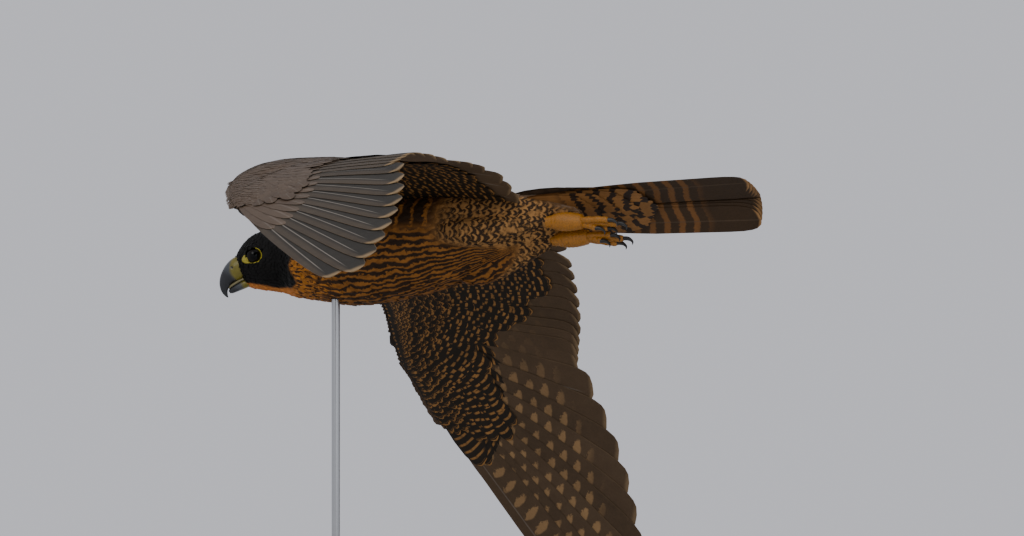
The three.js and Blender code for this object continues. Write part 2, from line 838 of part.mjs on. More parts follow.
// The nodes of the bird, in its own frame
const inBird = {};
inBird.head = makeHead();
const neckBlock = ahead(NECK_START + GAP / 2, still).subtract(ahead(HEAD_START - GAP / 2, headFrame));
inBird.neck = largest(body.intersect(neckBlock));
const bill = makeBill();
inBird.bill_upper = bill.upper;
inBird.bill_lower = bill.lower;
inBird.eye_left = eye(1);
inBird.eye_right = eye(-1);
const thighs = { left: thigh(1), right: thigh(-1) };
const tail = makeTail();
const feet = { left: makeFoot(1), right: makeFoot(-1) };
inBird.torso = largest(body.subtract(ahead(NECK_START - GAP / 2, still)));
inBird.wing_left = makeWing("left");
inBird.wing_right = makeWing("right");
inBird.tail = tail;
for (const [name, side] of [
  ["left", 1],
  ["right", -1],
]) {
  inBird[`leg_${name}`] = largest(thighs[name].subtract(bodyAndGap));
  inBird[`foot_${name}`] = largest(feet[name].subtract(thigh(side, GAP + 0.1)).subtract(bodyAndGap));
}

const COLOURS = {
  head: [0x17171a, 0.75],
  neck: [0xb08050, 0.8],
  torso: [0xa87a4c, 0.8],
  bill_upper: [0x4d5560, 0.4],
  bill_lower: [0x5f665f, 0.4],
  eye_left: [0x1b120c, 0.1],
  eye_right: [0x1b120c, 0.1],
  wing_left: [0x4b4844, 0.75],
  wing_right: [0x4b4844, 0.75],
  tail: [0x584a3a, 0.75],
  leg_left: [0xa87448, 0.8],
  leg_right: [0xa87448, 0.8],
  foot_left: [0xc99a24, 0.5],
  foot_right: [0xc99a24, 0.5],
};

const group = new THREE.Group();
const bird = new THREE.Group();
bird.applyMatrix4(birdFrame);
for (const [name, made] of Object.entries(inBird)) {
  const [colour, roughness] = COLOURS[name];
  const material = new THREE.MeshStandardMaterial({ color: colour, roughness });
  const mesh = new THREE.Mesh(geometryOf(made), material);
  mesh.name = name;
  bird.add(mesh);
}
group.add(bird);

function standMesh(name, made, colour, roughness, metalness) {
  const material = new THREE.MeshStandardMaterial({ color: colour, roughness, metalness });
  const mesh = new THREE.Mesh(geometryOf(made), material);
  mesh.name = name;
  group.add(mesh);
}
const base = makeBase();
standMesh("stand_base", base, 0x3b2a1e, 0.4, 0);
const foot = rodPlace();
const rodLength = foot.z - BASE_THICKNESS - GAP;
const bar = new THREE.CylinderGeometry(ROD_RADIUS, ROD_RADIUS, rodLength, 20).rotateX(rad(90));
bar.translate(foot.x, foot.y, BASE_THICKNESS + GAP + rodLength / 2);
const placed = new THREE.Matrix4().copy(birdFrame);
const bodyInPlace = solid(geometryOf(bodyAndGap).applyMatrix4(placed));
standMesh("stand_rod", largest(solid(bar).subtract(bodyInPlace)), 0x8c8f92, 0.3, 1);

export default group;
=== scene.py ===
"""A life-size peregrine falcon in banked flight on a display stand, feathered over its solids."""
import itertools
import math

import bmesh
import bpy
import numpy as np
from bpy.props import FloatProperty, FloatVectorProperty, IntProperty, PointerProperty
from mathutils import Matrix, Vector
from mathutils.bvhtree import BVHTree


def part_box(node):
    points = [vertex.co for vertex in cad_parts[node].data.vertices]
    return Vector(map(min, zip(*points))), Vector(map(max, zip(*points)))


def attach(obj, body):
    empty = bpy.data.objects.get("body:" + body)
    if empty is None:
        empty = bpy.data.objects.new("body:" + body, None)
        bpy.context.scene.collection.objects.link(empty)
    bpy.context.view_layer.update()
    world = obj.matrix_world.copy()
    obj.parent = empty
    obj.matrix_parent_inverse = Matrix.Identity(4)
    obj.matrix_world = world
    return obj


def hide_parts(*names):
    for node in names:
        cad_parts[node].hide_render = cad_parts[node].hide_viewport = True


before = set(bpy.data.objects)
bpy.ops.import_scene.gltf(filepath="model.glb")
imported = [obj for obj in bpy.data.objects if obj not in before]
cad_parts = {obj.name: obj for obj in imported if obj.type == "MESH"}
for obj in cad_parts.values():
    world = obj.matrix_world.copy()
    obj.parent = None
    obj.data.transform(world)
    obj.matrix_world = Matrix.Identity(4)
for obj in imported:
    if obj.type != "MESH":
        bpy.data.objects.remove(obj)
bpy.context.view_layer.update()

bl_info = {
    "name": "Falcon in flight",
    "version": (1, 0, 0),
    "blender": (4, 5, 0),
    "location": "View3D > Sidebar > Falcon",
    "description": "Feathers a banking falcon and sets it on its stand",
    "category": "Object",
}

MM = 0.001
SEED = 27

# The bird's place and lie, as its solids have them, in millimetres and degrees
BIRD_PLACE = (-48.0, 10.0, 402.0)
HEADING = 21.2
BANK = 28.6
CLIMB = -0.6
HEAD_PLACE = (95.4, -2.3, -27.8)
HEAD_PITCH = 24.0
SHOULDER = (0.0, 33.0, 8.0)
WRIST = (144.0, -44.0)
HAND_LENGTH = 84.0
HAND_SWEEP = {"left": 32.0, "right": 30.5}
WING_LENGTH = 350.0
PRIMARIES = 10
SECONDARIES = 13
BESIDE_BODY = 0.2
INNER_SWEEP = 101.0
TIP_SHORTFALL = (183, 167, 149, 130, 110, 88, 62, 34, 6, 3)
LEAD = 14.0
LAYER = 0.95
SLOPES = {
    "left": ((-30, 0, 45, 100, 144, 210, 440), (14, 6, -12, -32, -44, -50, -51)),
    "right": ((-30, 0, 45, 100, 144, 210, 440), (12, 4, -4, -18, -32, -45, -51)),
}
FORWARD = {"left": 6.0, "right": -21.0}
TILT = {
    "left": ((0, 100, 144, 440), (3, 5, 12, 12)),
    "right": ((0, 144, 300, 440), (9, 5, 1, 0)),
}
CAMBER = 900.0
STEP = 6.0
SHEET_SPAN = 450
ARM_FRONT = ((-28, 0, 40, 90, 130, 146), (-14, -20, -32, -47, -53, -52))
HAND_FRONT = ((12, 14), (44, 18), (68, 20), (86, 19))
BACK_EDGE = ((-28, 30, 76, 128, 146, 190, 228), (66, 58, 48, 0, -16, 4, 10))
THICKNESS = ((-28, 0, 76, 144, 200, 228), (10, 9.5, 8, 6.6, 5, 3))
TAIL_LENGTH = 188.0
TAIL_ROOT = (-163.0, 0.0, 12.0)
TAIL_TWIST = 17.0
TAIL_RISE = 3.2
TAIL_PAIRS = 6
TAIL_FAN = 1.6
TAIL_ROOTS = 15.0
TAIL_LAYER = 0.62
TAIL_ARCH = 120.0
TAIL_TOP = 1.6
TAIL_HALF = 11.0
EYE_RADIUS = 7.4
EYE_PLACE = (1.0, 12.6, 0.0)
EYE_OPENING = 5.7
SOCKET_DEPTH = 3.0
SOCKET_RIM = 1.2
SOCKET_INNER = 6.0
EYE_OUT = 0.3
CORNEA = 0.25
SKIRT = 6.8
SKIRT_AHEAD = 5.4
SKIRT_SPREAD = 0.48
RING_TURNS = 48
RING_SIDES = 12
BASE_RADIUS = 0.118
BASE_THICKNESS = 0.016
BASE_ROUND = 0.0022
BASE_GROOVE = ((0.007, 0.0), (0.0012, -0.0008), (0.0012, 0.0008))
ROD_INTO_BODY = 0.0015
ROD_ROUND = 0.0008
FERRULE_RADIUS = 0.0062
FERRULE_HEIGHT = 0.009
FERRULE_SINK = 0.0003
FLOOR_RADIUS = 1.4

# The camera's view of the photograph: its frame in pixels, and the millimetres in one of them
FRAME_WIDTH = 1024
FRAME_MIDDLE = (512, 268)
BIRD_PIXEL = (365.5, 223.3)
PIXEL = 0.84
CAMERA_BACK = 15.0

# The coat of small feathers: the nodes it covers, its skin's fineness and depth, and how its feathers lie
FLESH = ("head", "neck", "torso", "leg_left", "leg_right")
VOXEL = 0.0016
COAT_DEPTH = 0.0017
SKIN_WELD = 0.00002
SKIN_SWELL = 0.0006
SKIN_SMOOTHING = 6
CELL = 0.004
BILL_FACE = 17.5
BILL_ROOT = (27.0, 0.0, -8.0)
HEAD_END = -34.0
LIE_SPREAD = 0.07
LENGTH_TO_SPACING = 2.5
HALF_TO_SPACING = 0.78
SMALL_THICKNESS = 0.25
SMALL_CUP = 0.22
SMALL_POINT = 0.18
ROOT_DEPTH = -0.5
EYE_CLEARANCE = 0.3
WING_ROOT = {"x": (-52, 14), "y": 30, "z": (0, 14)}

# Where the plumage changes: places along the body or head, and the angle or height of the edge there
BELLY_ROLL = ((-196, -165, -138, -105, -70, -35), (16, 15, 12, 8, 3, 0))
MANTLE_EDGE = ((-120, -60, 0, 40), (2.32, 2.25, 2.05, 2.0))
CHEEK_LINE = ((-24, -17.1, -5.1, 1.5, 13.6, 22), (-36.5, -37.8, -32.9, -27.8, -20.1, -16))
HOOD_REAR = ((-37, -28, -23, -18, -13, -6, 4), (-23, -22.3, -21.5, -23.9, -28.8, -36, -46))
GIRTH_AXIS = 22.0
GIRTH_RADIUS = 42.0
THROAT_TINT = np.array((1.1, 0.85, 1.1))
FLECK_TINT = np.array((0.65, 0.55, 0.1))

# The wing's fleshy front, the span of its coverts, and how thick its feathers are
ARM_RINGS = 48
ARM_SIDES = 24
ARM_SPAN = (-24, 224)
ARM_FORM = ((0, 0.05, 0.14, 0.35, 0.65, 0.85, 1, 1.3), (0, 0.45, 0.74, 1, 0.82, 0.5, 0.25, 0))
COVERT_SPAN = (-6.0, 216.0)
COVERT_DEPTH = 130
GREAT_AHEAD = 16.0
QUILL_THICKNESS = 0.9
GREAT_THICKNESS = 0.6
COVERT_THICKNESS = 0.22
SHAFT = 0.3
UNDER_BAKE = 300.0

RIM_ANGLE = math.radians(50)
BEVEL_ANGLE = math.radians(40)
TURNED_ANGLE = math.radians(35)
SENSOR = 36.0

# The lamps: name, place, size and colour. Each takes its power from the setting of its name
LIT_PLACE = (0.05, -0.08, 0.36)
LAMPS = (
    ("key", (-1.3, -2.2, 2.2), 1.6, (1.0, 0.97, 0.93)),
    ("fill", (1.4, -2.4, 0.9), 2.0, (0.95, 0.97, 1.0)),
    ("rim", (0.4, 1.9, 2.0), 1.4, (1.0, 1.0, 1.0)),
)


# Places
def pitched(degrees):
    """A turn about the axis from wing to wing."""
    c, s = math.cos(math.radians(degrees)), math.sin(math.radians(degrees))
    return np.array(((c, 0, s), (0, 1, 0), (-s, 0, c)))


def rolled(degrees):
    """A turn about the axis from bill to tail."""
    c, s = math.cos(math.radians(degrees)), math.sin(math.radians(degrees))
    return np.array(((1, 0, 0), (0, c, -s), (0, s, c)))


def frame_of(heading, bank, climb):
    """Columns: forward, left and up of a bird with this lie."""
    heading, bank = math.radians(heading), math.radians(bank)
    forward = np.array((-math.cos(heading), math.sin(heading), 0.0))
    level = np.cross((0.0, 0.0, 1.0), forward)
    left = level * math.cos(bank) + np.array((0.0, 0.0, math.sin(bank)))
    axes = np.column_stack((forward, left, np.cross(forward, left)))
    return pitched(climb) @ axes


BIRD_AXES = frame_of(HEADING, BANK, CLIMB)
HEAD_AXES = frame_of(0.0, 0.0, -HEAD_PITCH)
HEAD_ORIGIN = np.array(BIRD_PLACE) + BIRD_AXES @ np.array(HEAD_PLACE)


def place_bird(points):
    """From the bird's millimetres to the scene's metres."""
    return (np.asarray(points) @ BIRD_AXES.T + np.array(BIRD_PLACE)) * MM


def place_head(points):
    """From the head's millimetres to the scene's metres."""
    return (np.asarray(points) @ HEAD_AXES.T + HEAD_ORIGIN) * MM


def to_bird(points):
    """From the scene's metres to the bird's millimetres."""
    return (np.asarray(points) / MM - np.array(BIRD_PLACE)) @ BIRD_AXES


def to_head(points):
    """From the scene's metres to the head's millimetres."""
    return (np.asarray(points) / MM - HEAD_ORIGIN) @ HEAD_AXES


def smooth(x):
    x = np.clip(x, 0.0, 1.0)
    return x * x * (3.0 - 2.0 * x)


def ramp(x, low, high):
    """0 below low, 1 above high, eased between."""
    return smooth((np.asarray(x, float) - low) / (high - low))


def unit(vectors):
    return vectors / np.maximum(np.linalg.norm(vectors, axis=-1, keepdims=True), 1e-9)


def spline(rows, count):
    """A smooth run of count rows through the given ones."""
    rows = np.array(rows, float)
    padded = np.vstack((2 * rows[0] - rows[1], rows, 2 * rows[-1] - rows[-2]))
    place = np.linspace(0, len(rows) - 1, count)
    first = np.minimum(place.astype(int), len(rows) - 2)
    t = (place - first)[:, None]
    a, b, c, d = (padded[first + k] for k in range(4))
    curved = (2 * a - 5 * b + 4 * c - d) * t**2 + (3 * b - 3 * c + d - a) * t**3
    return 0.5 * (2 * b + (c - a) * t + curved)


# Meshes
def volume(mesh):
    """The space inside a closed mesh, below zero where its faces point inwards."""
    places = np.empty(len(mesh.vertices) * 3, np.float32)
    mesh.vertices.foreach_get("co", places)
    mesh.calc_loop_triangles()
    corners = np.empty(len(mesh.loop_triangles) * 3, np.int32)
    mesh.loop_triangles.foreach_get("vertices", corners)
    a, b, c = places.reshape(-1, 3).astype(float)[corners.reshape(-1, 3)].transpose(1, 0, 2)
    return float(np.sum(a * np.cross(b, c))) / 6


def add_marks(mesh, vectors, colours):
    """Vector and colour attributes on a mesh's points."""
    for key, values in vectors.items():
        layer = mesh.attributes.new(key, "FLOAT_VECTOR", "POINT")
        layer.data.foreach_set("vector", np.ascontiguousarray(values, dtype=np.float32).ravel())
    for key, values in colours.items():
        layer = mesh.attributes.new(key, "FLOAT_COLOR", "POINT")
        rgba = np.ones((len(mesh.vertices), 4), np.float32)
        rgba[:, :3] = values.reshape(-1, 3)
        layer.data.foreach_set("color", rgba.ravel())


def add_mesh(name, points, faces, vectors=None, colours=None, bake=None):
    """A mesh object from arrays, with the marks on its points and its bake map."""
    mesh = bpy.data.meshes.new(name)
    mesh.from_pydata(points.reshape(-1, 3).tolist(), [], faces)
    mesh.validate()
    if volume(mesh) < 0:
        mesh.flip_normals()
    add_marks(mesh, vectors or {}, colours or {})
    if bake is not None:
        corners = np.empty(len(mesh.loops), np.int32)
        mesh.loops.foreach_get("vertex_index", corners)
        layer = mesh.uv_layers.new(name="OFBake")
        layer.data.foreach_set("uv", bake.reshape(-1, 2)[corners].astype(np.float32).ravel())
    mesh.shade_smooth()
    piece = bpy.data.objects.new(name, mesh)
    bpy.context.collection.objects.link(piece)
    return piece


def ring_faces(rings, sides, count=1, caps=True):
    """Quads of count closed tubes of rings, each ring with the same number of sides."""
    i, j = np.meshgrid(np.arange(rings - 1), np.arange(sides), indexing="ij")
    a = (i * sides + j).ravel()
    b = (i * sides + (j + 1) % sides).ravel()
    quads = np.column_stack((a, b, b + sides, a + sides))
    size = rings * sides
    every = (quads[None] + np.arange(count)[:, None, None] * size).reshape(-1, 4)
    faces = every.tolist()
    if caps:
        start = np.arange(sides)[::-1]
        end = np.arange(sides) + (rings - 1) * sides
        for k in range(count):
            faces.append((start + k * size).tolist())
            faces.append((end + k * size).tolist())
    return faces


def ride(piece, material, nodes=()):
    """Hangs a finished piece on the one body, in place of the nodes it stands for."""
    piece.data.materials.clear()
    piece.data.materials.append(material)
    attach(piece, "root")
    if nodes:
        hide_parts(*nodes)
    return piece


def only(piece):
    """Selects one object and makes it active."""
    bpy.ops.object.select_all(action="DESELECT")
    piece.select_set(True)
    bpy.context.view_layer.objects.active = piece


def apply(piece, kind, **settings):
    """Adds a modifier with these settings and applies it."""
    only(piece)
    modifier = piece.modifiers.new(kind.title(), kind)
    for key, value in settings.items():
        setattr(modifier, key, value)
    bpy.ops.object.modifier_apply(modifier=modifier.name)


def crisp(piece):
    """Smooth faces with sharp rims."""
    only(piece)
    bpy.ops.object.shade_smooth_by_angle(angle=RIM_ANGLE)
    return piece


def facing_out(piece):
    """Turns a closed mesh's faces outwards."""
    only(piece)
    bpy.ops.object.mode_set(mode="EDIT")
    bpy.ops.mesh.select_all(action="SELECT")
    bpy.ops.mesh.normals_make_consistent(inside=False)
    bpy.ops.object.mode_set(mode="OBJECT")


def tube(name, points, slot, material, nodes=(), **marks):
    """A closed piece from rings of points, shaped (rings, sides, 3), hung on the body."""
    piece = add_mesh(name, points, ring_faces(*points.shape[:2]), **marks)
    ride(piece, material, nodes)
    facing_out(piece)


# Shader maths. A noise's scale is its waves in a metre, and over() says where a mask starts and is full.
class Value:
    """A shader socket that adds, multiplies and compares as a number does."""

    def __init__(self, recipe, socket):
        self.recipe = recipe
        self.socket = socket

    def maths(self, operation, *others):
        inputs = dict(enumerate((self, *others)))
        return self.recipe.node("ShaderNodeMath", {"operation": operation}, inputs)

    def __add__(self, other):
        return self.maths("ADD", other)

    __radd__ = __add__

    def __sub__(self, other):
        return self.maths("SUBTRACT", other)

    def __rsub__(self, other):
        return self.recipe.node("ShaderNodeMath", {"operation": "SUBTRACT"}, {0: other, 1: self})

    def __mul__(self, other):
        return self.maths("MULTIPLY", other)

    __rmul__ = __mul__

    def __truediv__(self, other):
        return self.maths("DIVIDE", other)

    def __abs__(self):
        return self.maths("ABSOLUTE")

    def wave(self, pitch):
        """A sine of this value, from -1 to 1."""
        return (self * (2 * math.pi / pitch)).maths("SINE")

    def over(self, low, high):
        """0 below low, 1 above high, eased between."""
        ends = {"Value": self, "From Min": low, "From Max": high}
        return self.recipe.node("ShaderNodeMapRange", {"interpolation_type": "SMOOTHSTEP"}, ends)


class Recipe:
    """A material's nodes, written as expressions on values."""

    def __init__(self, name):
        self.material = bpy.data.materials.new(name)
        self.material.use_nodes = True
        self.nodes = self.material.node_tree.nodes
        self.links = self.material.node_tree.links
        self.shader = self.nodes["Principled BSDF"]

    def set(self, socket, value):
        if isinstance(value, Value):
            self.links.new(value.socket, socket)
        elif socket.type == "RGBA":
            socket.default_value = (*value, 1.0)
        else:
            socket.default_value = value

    def node(self, kind, settings, inputs, output=0):
        made = self.nodes.new(kind)
        for key, value in settings.items():
            setattr(made, key, value)
        for key, value in inputs.items():
            self.set(made.inputs[key], value)
        return Value(self, made.outputs[output])

    def attribute(self, name, output="Vector"):
        return self.node("ShaderNodeAttribute", {"attribute_name": name}, {}, output)

    def parts(self, vector):
        """The three numbers of a vector."""
        made = self.nodes.new("ShaderNodeSeparateXYZ")
        self.set(made.inputs[0], vector)
        return [Value(self, made.outputs[k]) for k in range(3)]

    def place(self):
        return self.node("ShaderNodeTexCoord", {}, {}, "Object")

    def noise(self, vector, scale, detail=3.0, roughness=0.55):
        inputs = {"Vector": vector, "Scale": scale, "Detail": detail, "Roughness": roughness}
        return self.node("ShaderNodeTexNoise", {}, inputs, "Fac")

    def drifts(self, coarse, fine):
        """A slow and a fine noise over the piece."""
        place = self.place()
        return self.noise(place, coarse, 2.0), self.noise(place, fine)

    def cells(self, vector, scale):
        return self.node("ShaderNodeTexVoronoi", {}, {"Vector": vector, "Scale": scale})

    def mix(self, factor, first, second):
        """first where factor is 0, second where it is 1."""
        made = self.nodes.new("ShaderNodeMix")
        made.data_type = "RGBA"
        self.set(made.inputs[0], factor)
        self.set(made.inputs[6], first)
        self.set(made.inputs[7], second)
        return Value(self, made.outputs[2])

    def shade(self, colour, factor):
        """A colour made darker or lighter by a number."""
        return self.node("ShaderNodeVectorMath", {"operation": "SCALE"}, {0: colour, "Scale": factor})

    def bump(self, height, distance, strength=1.0):
        inputs = {"Height": height, "Distance": distance, "Strength": strength}
        return self.node("ShaderNodeBump", {}, inputs)

    def finish(self, **sockets):
        for key, value in sockets.items():
            self.set(self.shader.inputs[key.replace("_", " ")], value)
        return self.material


def grained(name, scale, detail, first, second, roughness, relief=(0.0, 0.0)):
    """A plain finish of two colours mixed by a noise. The relief is its bump's height and strength."""
    made = Recipe(name)
    grain = made.noise(made.place(), scale, detail)
    sockets = {"Base_Color": made.mix(grain, first, second), "Roughness": roughness}
    if relief[0]:
        sockets["Normal"] = made.bump(grain, *relief)
    return made.finish(**sockets)


# Vanes
SMALL = {"columns": (-1, 0, 1), "rows": (0, 0.35, 0.75, 1), "widths": (0.35, 0.95, 0.9, 0.2)}
MEDIUM = {
    "columns": (-1, -0.5, 0, 0.5, 1),
    "rows": (0, 0.25, 0.5, 0.75, 0.9, 0.97, 1),
    "widths": (0.4, 0.85, 1, 0.95, 0.72, 0.42, 0.12),
}
LARGE = {
    "columns": (-1, -0.6, -0.12, 0, 0.12, 0.6, 1),
    "rows": (0, 0.1, 0.2, 0.3, 0.4, 0.5, 0.6, 0.7, 0.8, 0.87, 0.93, 0.97, 0.99, 1),
    "widths": (0.2, 0.5, 0.72, 0.84, 0.93, 1, 1, 1, 1, 1, 0.97, 0.88, 0.74, 0.45),
    "pointed": (0.2, 0.6, 0.85, 0.92, 0.98, 1, 1, 0.98, 0.95, 0.9, 0.81, 0.66, 0.5, 0.25),
}
# The tiers of small coverts, from the wing's front edge backwards: how their roots stand, and their sizes
TIERS = (
    {
        "form": SMALL,
        "pitch": 3.9,
        "share": (0.0, 0.3),
        "length": 9.0,
        "half": 3.1,
        "rise": 0.5,
        "droop": 0,
    },
    {
        "form": SMALL,
        "pitch": 5.8,
        "share": (0.2, 0.66),
        "length": 16.0,
        "half": 4.7,
        "rise": 0.75,
        "droop": 0,
    },
    {
        "form": MEDIUM,
        "pitch": 7.8,
        "share": (0.55, 1.6),
        "length": 25.0,
        "half": 6.2,
        "rise": 1.0,
        "droop": 1.3,
    },
)


def section(form):
    """Across places of a vane's closed outline, and which of its points lie on the upper face."""
    top = list(form["columns"])
    under = top[-2:0:-1]
    return np.array(top + under, float), np.array([1.0] * len(top) + [-1.0] * len(under))


def vane_grid(form, count):
    """Across, along and face arrays of count vanes, shaped (count, rows, outline)."""
    across, face = section(form)
    rows = np.array(form["rows"], float)
    shape = (count, len(rows), len(across))
    return (
        np.broadcast_to(across, shape),
        np.broadcast_to(rows[:, None], shape),
        np.broadcast_to(face * (np.abs(across) < 0.999), shape),
    )


def root_patches(roots, across, along, low, high, size=0.003):
    """A bake map that gives each vane a small patch at its root's place on the unwrapped skin."""
    span = np.array(high) - np.array(low)
    spots = 0.01 + 0.98 * (np.array(roots) - np.array(low)) / span
    patch = np.stack((across * 0.5, along - 0.5), axis=-1) * size
    return spots[:, None, None, :] + patch


def skin_vanes(name, skin, roots, lie, sizes, rng, lift):
    """Small feathers that follow the skin from their roots. Sizes are their lengths and half widths."""
    count = len(roots)
    lengths, halves = sizes
    points = np.zeros((count, 3, 3))
    normals = np.zeros((count, 3, 3))
    for k in range(count):
        for step, reach in enumerate((0.0, 0.5, 1.0)):
            aim = Vector(roots[k] + lie[k] * lengths[k] * reach * MM)
            points[k, step], normals[k, step] = skin.find_nearest(aim)[:2]
    across, along, face = vane_grid(SMALL, count)
    half = halves[:, None, None]
    widths = np.interp(along, SMALL["rows"], SMALL["widths"]) * half
    tip = lift + rng.uniform(-0.15, 0.35, count)
    heights = np.stack((np.full(count, ROOT_DEPTH), tip * 0.65, tip), axis=1)
    lifted = points + normals * (heights * MM)[:, :, None]
    start, middle, end = (lifted[:, None, None, k] for k in range(3))
    t = along[..., None]
    shaped = start * (1 - t) * (1 - 2 * t) + middle * 4 * t * (1 - t) + end * t * (2 * t - 1)
    forward = unit(lifted[:, 2] - lifted[:, 0])
    side = unit(np.cross(normals[:, 1], forward))
    up = np.cross(forward, side)
    cupped = face * SMALL_THICKNESS * 0.5 - SMALL_CUP * half * across**2
    swept_back = -SMALL_POINT * half * across**2 * along
    for axis, amount in ((side, across * widths), (up, cupped), (forward, swept_back)):
        shaped = shaped + axis[:, None, None] * (amount * MM)[..., None]
    marks = body_marks(shaped.reshape(-1, 3))
    tone = np.broadcast_to(rng.uniform(0, 1, count)[:, None, None], across.shape)
    vectors = {"vane": np.stack((across, along, tone), axis=-1), **marks["vectors"]}
    bird = to_bird(roots)
    spots = np.column_stack((bird[:, 0], np.arctan2(bird[:, 1], -(bird[:, 2] + 20))))
    bake = root_patches(spots, across, along, (-200, -math.pi), (140, math.pi))
    faces = ring_faces(across.shape[1], across.shape[2], count)
    return crisp(add_mesh(name, shaped, faces, vectors, marks["colours"], bake))


# Plumage
def body_marks(points):
    """Ground colours and the strengths of each pattern at points of the head, neck, trunk and thighs."""
    look = bpy.context.scene.falcon_plumage
    x, y, z = to_bird(points).T
    hx, _, hz = to_head(points).T
    roll = np.radians(np.interp(x, *BELLY_ROLL))
    angle = np.abs((np.arctan2(y, -(z + GIRTH_AXIS)) - roll + math.pi) % (2 * math.pi) - math.pi)
    hood = ramp(hz - np.interp(hx, *CHEEK_LINE), -0.8, 0.8)
    hood = hood * ramp(hx - np.interp(hz, *HOOD_REAR), -1.2, 1.2)
    mantle = ramp(angle - np.interp(x, *MANTLE_EDGE), -0.1, 0.1)
    mantle = np.maximum(mantle, ramp(hx, -60, -46) * ramp(hz, -8, 2)) * (1 - hood)
    mantle *= 1 - ramp(-x, 108, 128) * (1 - ramp(z, 2, 9))
    rump = ramp(-x, 120, 150) * mantle
    buff = (1 - hood) * (1 - mantle)
    throat = ramp(hx, -26, -10) * buff
    vent = ramp(-x - 130 + 60 * ramp(angle, 0.5, 1.2), 0, 22) * (1 - mantle)
    side = ramp(angle, 1.25, 1.55) * ramp(-x, -30, -5) * (1 - vent) * (1 - mantle)
    lines = buff * (1 - vent) * (1 - side) * ramp(-hx, 22, 46)
    flecks = buff * ramp(-hx, 14, 24) * (1 - ramp(-hx, 40, 62))
    ground = np.tile(np.array(look.buff), (len(points), 1))
    ground *= 1 + throat[:, None] * THROAT_TINT + flecks[:, None] * FLECK_TINT
    for cover, colour in (
        (vent, np.array(look.vent)),
        (mantle, np.array(look.slate) * (1 + 0.5 * rump)[:, None]),
        (hood, np.array(look.hood)),
    ):
        ground = ground * (1 - cover)[:, None] + colour * cover[:, None]
    return {
        "vectors": {
            "lay": np.column_stack((x * 0.1, angle * GIRTH_RADIUS * 0.1, hood)),
            "zone": np.column_stack((lines, side, vent)),
            "more": np.column_stack((flecks, mantle, np.zeros(len(points)))),
        },
        "colours": {"ground": ground},
    }


def body_material(name, on_vanes):
    """Buff feathers with dark lines, bars and chevrons, a black hood and a slate back."""
    look = bpy.context.scene.falcon_plumage
    made = Recipe(name)
    along_body, girth, hood = made.parts(made.attribute("lay"))
    lines, side, vent = made.parts(made.attribute("zone"))
    flecks, mantle, _ = made.parts(made.attribute("more"))
    ground = made.attribute("ground", "Color")
    drift, fine = made.drifts(55.0, 420.0)
    place = made.place()
    grain = made.noise(place, 1500.0, 2.0)
    patch = made.noise(place, 130.0, 2.0)
    wavy = (girth + (drift - 0.5) * 1.3 + (patch - 0.5) * 0.5 + (fine - 0.5) * 0.25).wave(0.56)
    line_mask = (wavy + (fine - 0.5) * 2.0 + (patch - 0.5) * 2.4).over(-0.8, 0.45) * lines
    barred = along_body + (drift - 0.5) * 0.7 + (patch - 0.5) * 0.7 + (fine - 0.5) * 0.3
    barred = barred.wave(1.15)
    bar_mask = (barred + (fine - 0.5) * 2.0 + (patch - 0.5) * 2.0).over(-1.1, -0.35) * side
    slanted = {0: along_body * 1.3 + girth * 0.8, 1: girth * 3.4 - along_body * 0.5, 2: 0.0}
    streaks = made.noise(made.node("ShaderNodeCombineXYZ", {}, slanted), 1.25, 2.0)
    fleck_mask = streaks.over(0.5, 0.56) * flecks
    if on_vanes:
        across, share, tone = made.parts(made.attribute("vane"))
        bow = share + abs(across) * abs(across) * 0.26 + (fine - 0.5) * 0.2
        chevron = (1 - abs(bow - 0.84).over(0.08, 0.2)) + (1 - abs(bow - 0.42).over(0.06, 0.16))
        chevron = chevron * patch.over(0.3, 0.48)
        tip = share.over(0.8, 0.97)
        shaft = 1 - abs(across).over(0.04, 0.16)
    else:
        chevron = (along_body + patch).wave(0.8).over(0.4, 0.8)
        tone, tip, shaft = 0.5, 0.0, 0.0
    vent_mask = chevron.maths("MINIMUM", 1.0) * vent
    dark = line_mask
    for mask in (bar_mask, vent_mask, fleck_mask):
        dark = dark.maths("MAXIMUM", mask)
    colour = made.mix(dark * 0.94, ground, look.bars)
    edge = made.mix(mantle * tip * 0.45, colour, look.slate_edge)
    varied = made.shade(edge, 0.78 + 0.3 * tone + (drift - 0.5) * 0.5 + (grain - 0.5) * 0.35)
    shafted = made.mix(shaft * mantle * 0.3, varied, look.shaft)
    striae = made.bump(grain * 0.6 + fine * 0.4, 0.0004, 0.5)
    rough = 0.72 - hood * 0.12
    return made.finish(Base_Color=shafted, Roughness=rough, Normal=striae, Specular_IOR_Level=0.16)


def crowded(spot, gap, home, kept):
    """Whether a kept point lies nearer to the spot than the gap. Each cell of a grid keeps its own."""
    reach = int(math.ceil(gap / CELL))
    for dx, dy, dz in itertools.product(range(-reach, reach + 1), repeat=3):
        for other in kept.get((home[0] + dx, home[1] + dy, home[2] + dz), ()):
            if np.dot(other - spot, other - spot) < gap * gap:
                return True
    return False


